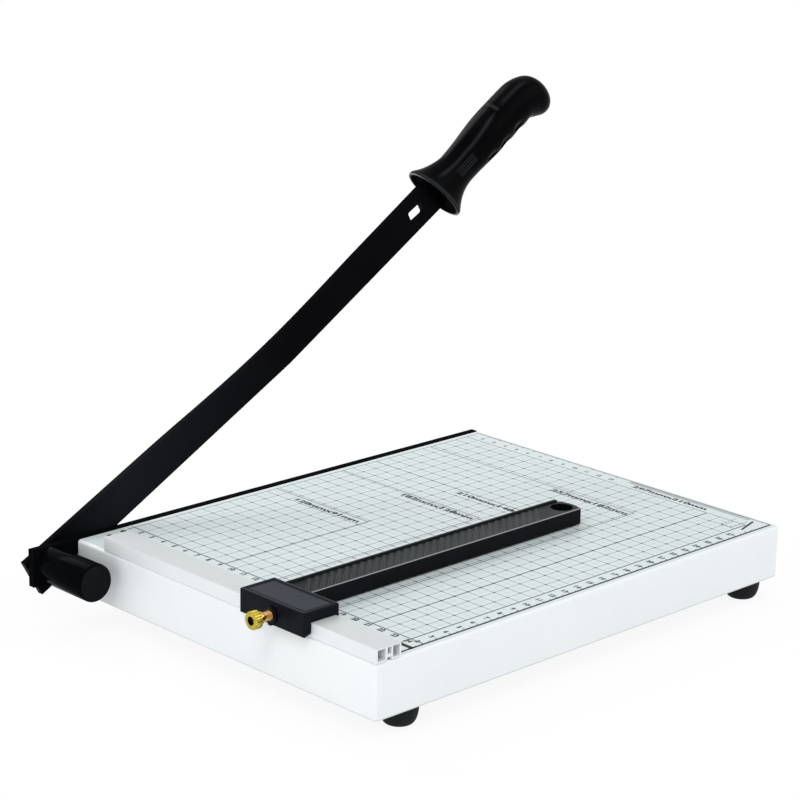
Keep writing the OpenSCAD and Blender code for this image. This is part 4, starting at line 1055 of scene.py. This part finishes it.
knob = rod("thumb_screw_knob", on_thumb(KNOB_X[0] + KNOB_EDGE), "X", knob_end - KNOB_X[0] - 2 * KNOB_EDGE, KNOB_R,
           sides=KNURL_SIDES * KNURLS)
move_corners(knob, knurled_corner)
for side in (-1, 1):
    edit_faces(knob, lambda normal: normal.x * side > 0.9)
    pull(side * KNOB_EDGE, 0, 0)
    bpy.ops.transform.resize(value=(1, 1 - KNOB_EDGE / KNOB_R, 1 - KNOB_EDGE / KNOB_R),
                             center_override=at(*on_thumb(0)))
carve(close(knob), rod("socket", on_thumb(KNOB_X[0] - 1), "X", SOCKET_DEPTH + 1, SOCKET_R))
carve(knob, rod("hub", on_thumb(knob_end - 0.2), "X", HUB_LEN + 0.2, HUB_R, sides=64), operation="UNION")
soften(knob, 0.12)

fresh_start()
bpy.ops.mesh.primitive_circle_add()
stem = settle("stem")
stem.data.clear_geometry()
stem.data.from_pydata([(0, r / 1000, x / 1000) for x, r in THREAD], [(i, i + 1) for i in range(len(THREAD) - 1)], [])
apply_modifier(stem, "SCREW", axis="Z", steps=40, render_steps=40, screw_offset=THREAD_PITCH / 1000,
               iterations=round((PAD_BACK_X - KNOB_X[1] - 0.4) / THREAD_PITCH), use_merge_vertices=True,
               merge_threshold=0.000002, use_normal_calculate=True)
edit_faces(stem, lambda normal: True)
bpy.ops.mesh.fill_holes(sides=0)
close(stem)
stem.rotation_euler = ALONG["X"]
stem.location = at(*on_thumb(stem_x))
settle("stem")
core = rod("core", on_thumb(stem_x), "X", PAD_BACK_X - KNOB_X[1] + 0.2, ROOT_R + 0.02, sides=40)
tip = rod("tip", on_thumb(PAD_BACK_X - 0.2), "X", 1.0, TIP_R, sides=32)
for piece in (stem, core, tip):
    smooth_by_angle(piece, 30)
knob = join("thumb_screw_knob", [knob, stem, core, tip])
stands_for(knob, "thumb_screw", "screw", brass)
copper = Finish("dull_copper", (198, 150, 92), (160, 114, 62), (0.2, 0.32), 0.3, 3, 0.004, Metallic=1.0)
paint(copper, "clamp_pad")
dark_brass = Finish("darkened_brass", (40, 34, 22), (54, 46, 28), (0.35, 0.5), 0.3, 3, 0.004, Metallic=0.8)
paint(dark_brass, "guide_insert")


# Arm lock: a flat zinc-plated bolt under the bed, in a guide welded to the tray.
# It slides by a small moulded knob outside the handle end.
paint(moulded_cap, "lock_knob")


# Stage: a pale studio floor, soft light from above and both sides, and the camera at the photograph's angle.
# The floor and the world show plain white to the camera, and the floor keeps the cutter's soft shadow.
def to_camera(tree):
    """A mask that is 1 for what the camera sees, straight, mirrored or through something clear."""
    path = add_node(tree, "LightPath").outputs
    return calc(tree, "MAXIMUM", path["Is Camera Ray"],
                calc(tree, "MAXIMUM", path["Is Glossy Ray"], path["Is Transmission Ray"]))


def choose(tree, share, first, second, output):
    """Mixes two shaders by a mask, as the surface of an output."""
    choice = add_node(tree, "MixShader")
    for socket, value in zip(choice.inputs, (share, first.outputs[0], second.outputs[0])):
        feed(tree, socket, value)
    feed(tree, tree.nodes[output].inputs["Surface"], choice.outputs[0])


fresh_start()
bpy.ops.mesh.primitive_plane_add(size=12, location=(0, 0, -0.0002))
floor = bpy.context.object
floor.name = "studio_floor"
floor_finish = bpy.data.materials.new("studio_floor_white")
floor_finish.use_nodes = True
tree = floor_finish.node_tree
shader = tree.nodes["Principled BSDF"]
for label, value in (("Base Color", shade(250, 250, 251)), ("Roughness", 0.9), ("Specular IOR Level", 0.0)):
    shader.inputs[label].default_value = value
away = add_node(tree, "VectorMath", operation="LENGTH", Vector=object_place(tree))
shown = calc(tree, "MULTIPLY", to_camera(tree), spread(tree, away.outputs["Value"], 0.9, 1.0, 0.2, 0.42))
choose(tree, shown, shader, add_node(tree, "Emission", Color=(1, 1, 1, 1), Strength=1.0), "Material Output")
floor.data.materials.append(floor_finish)

world = bpy.data.worlds.new("studio")
bpy.context.scene.world = world
world.use_nodes = True
tree = world.node_tree
soft_sky = tree.nodes["Background"]
soft_sky.inputs["Color"].default_value = (0.957, 0.993, 1.0, 1.0)
soft_sky.inputs["Strength"].default_value = 0.62
plain_white = add_node(tree, "Background", Color=(1, 1, 1, 1), Strength=1.0)
choose(tree, to_camera(tree), soft_sky, plain_white, "World Output")


def lamp(name, place, aim, size, watts):
    """A square soft light that looks at a point."""
    fresh_start()
    bpy.ops.object.light_add(type="AREA", location=place)
    made = bpy.context.object
    made.name = name
    made.data.size = size
    made.data.energy = watts
    made.rotation_euler = (Vector(aim) - Vector(place)).to_track_quat("-Z", "Y").to_euler()


lamp("key_light", (-1.3, -0.9, 1.9), (0, 0, 0.05), 0.9, 14)
lamp("side_light", (1.2, -1.4, 1.3), (0, 0, 0.05), 1.4, 9)
lamp("left_light", (-2.0, 0.1, 0.8), (-0.1, 0, 0.05), 1.2, 5.2)
lamp("back_light", (0.1, 1.5, 1.4), (-0.05, 0, 0.05), 0.9, 11)

fresh_start()
bpy.ops.object.camera_add()
camera = bpy.context.object
camera.data.lens = 113.73
camera.data.sensor_width = 36
camera.data.clip_start = 0.01
camera.matrix_world = (
    Matrix.Translation(at(-821.246, -1101.48, 523.77))
    @ Matrix.Rotation(math.radians(-43.913), 4, "Z")
    @ Matrix.Rotation(math.radians(90 - 16.317), 4, "X")
    @ Matrix.Rotation(math.radians(0.976), 4, "Z"))
bpy.context.scene.camera = camera
bpy.context.scene.view_settings.view_transform = "Standard"
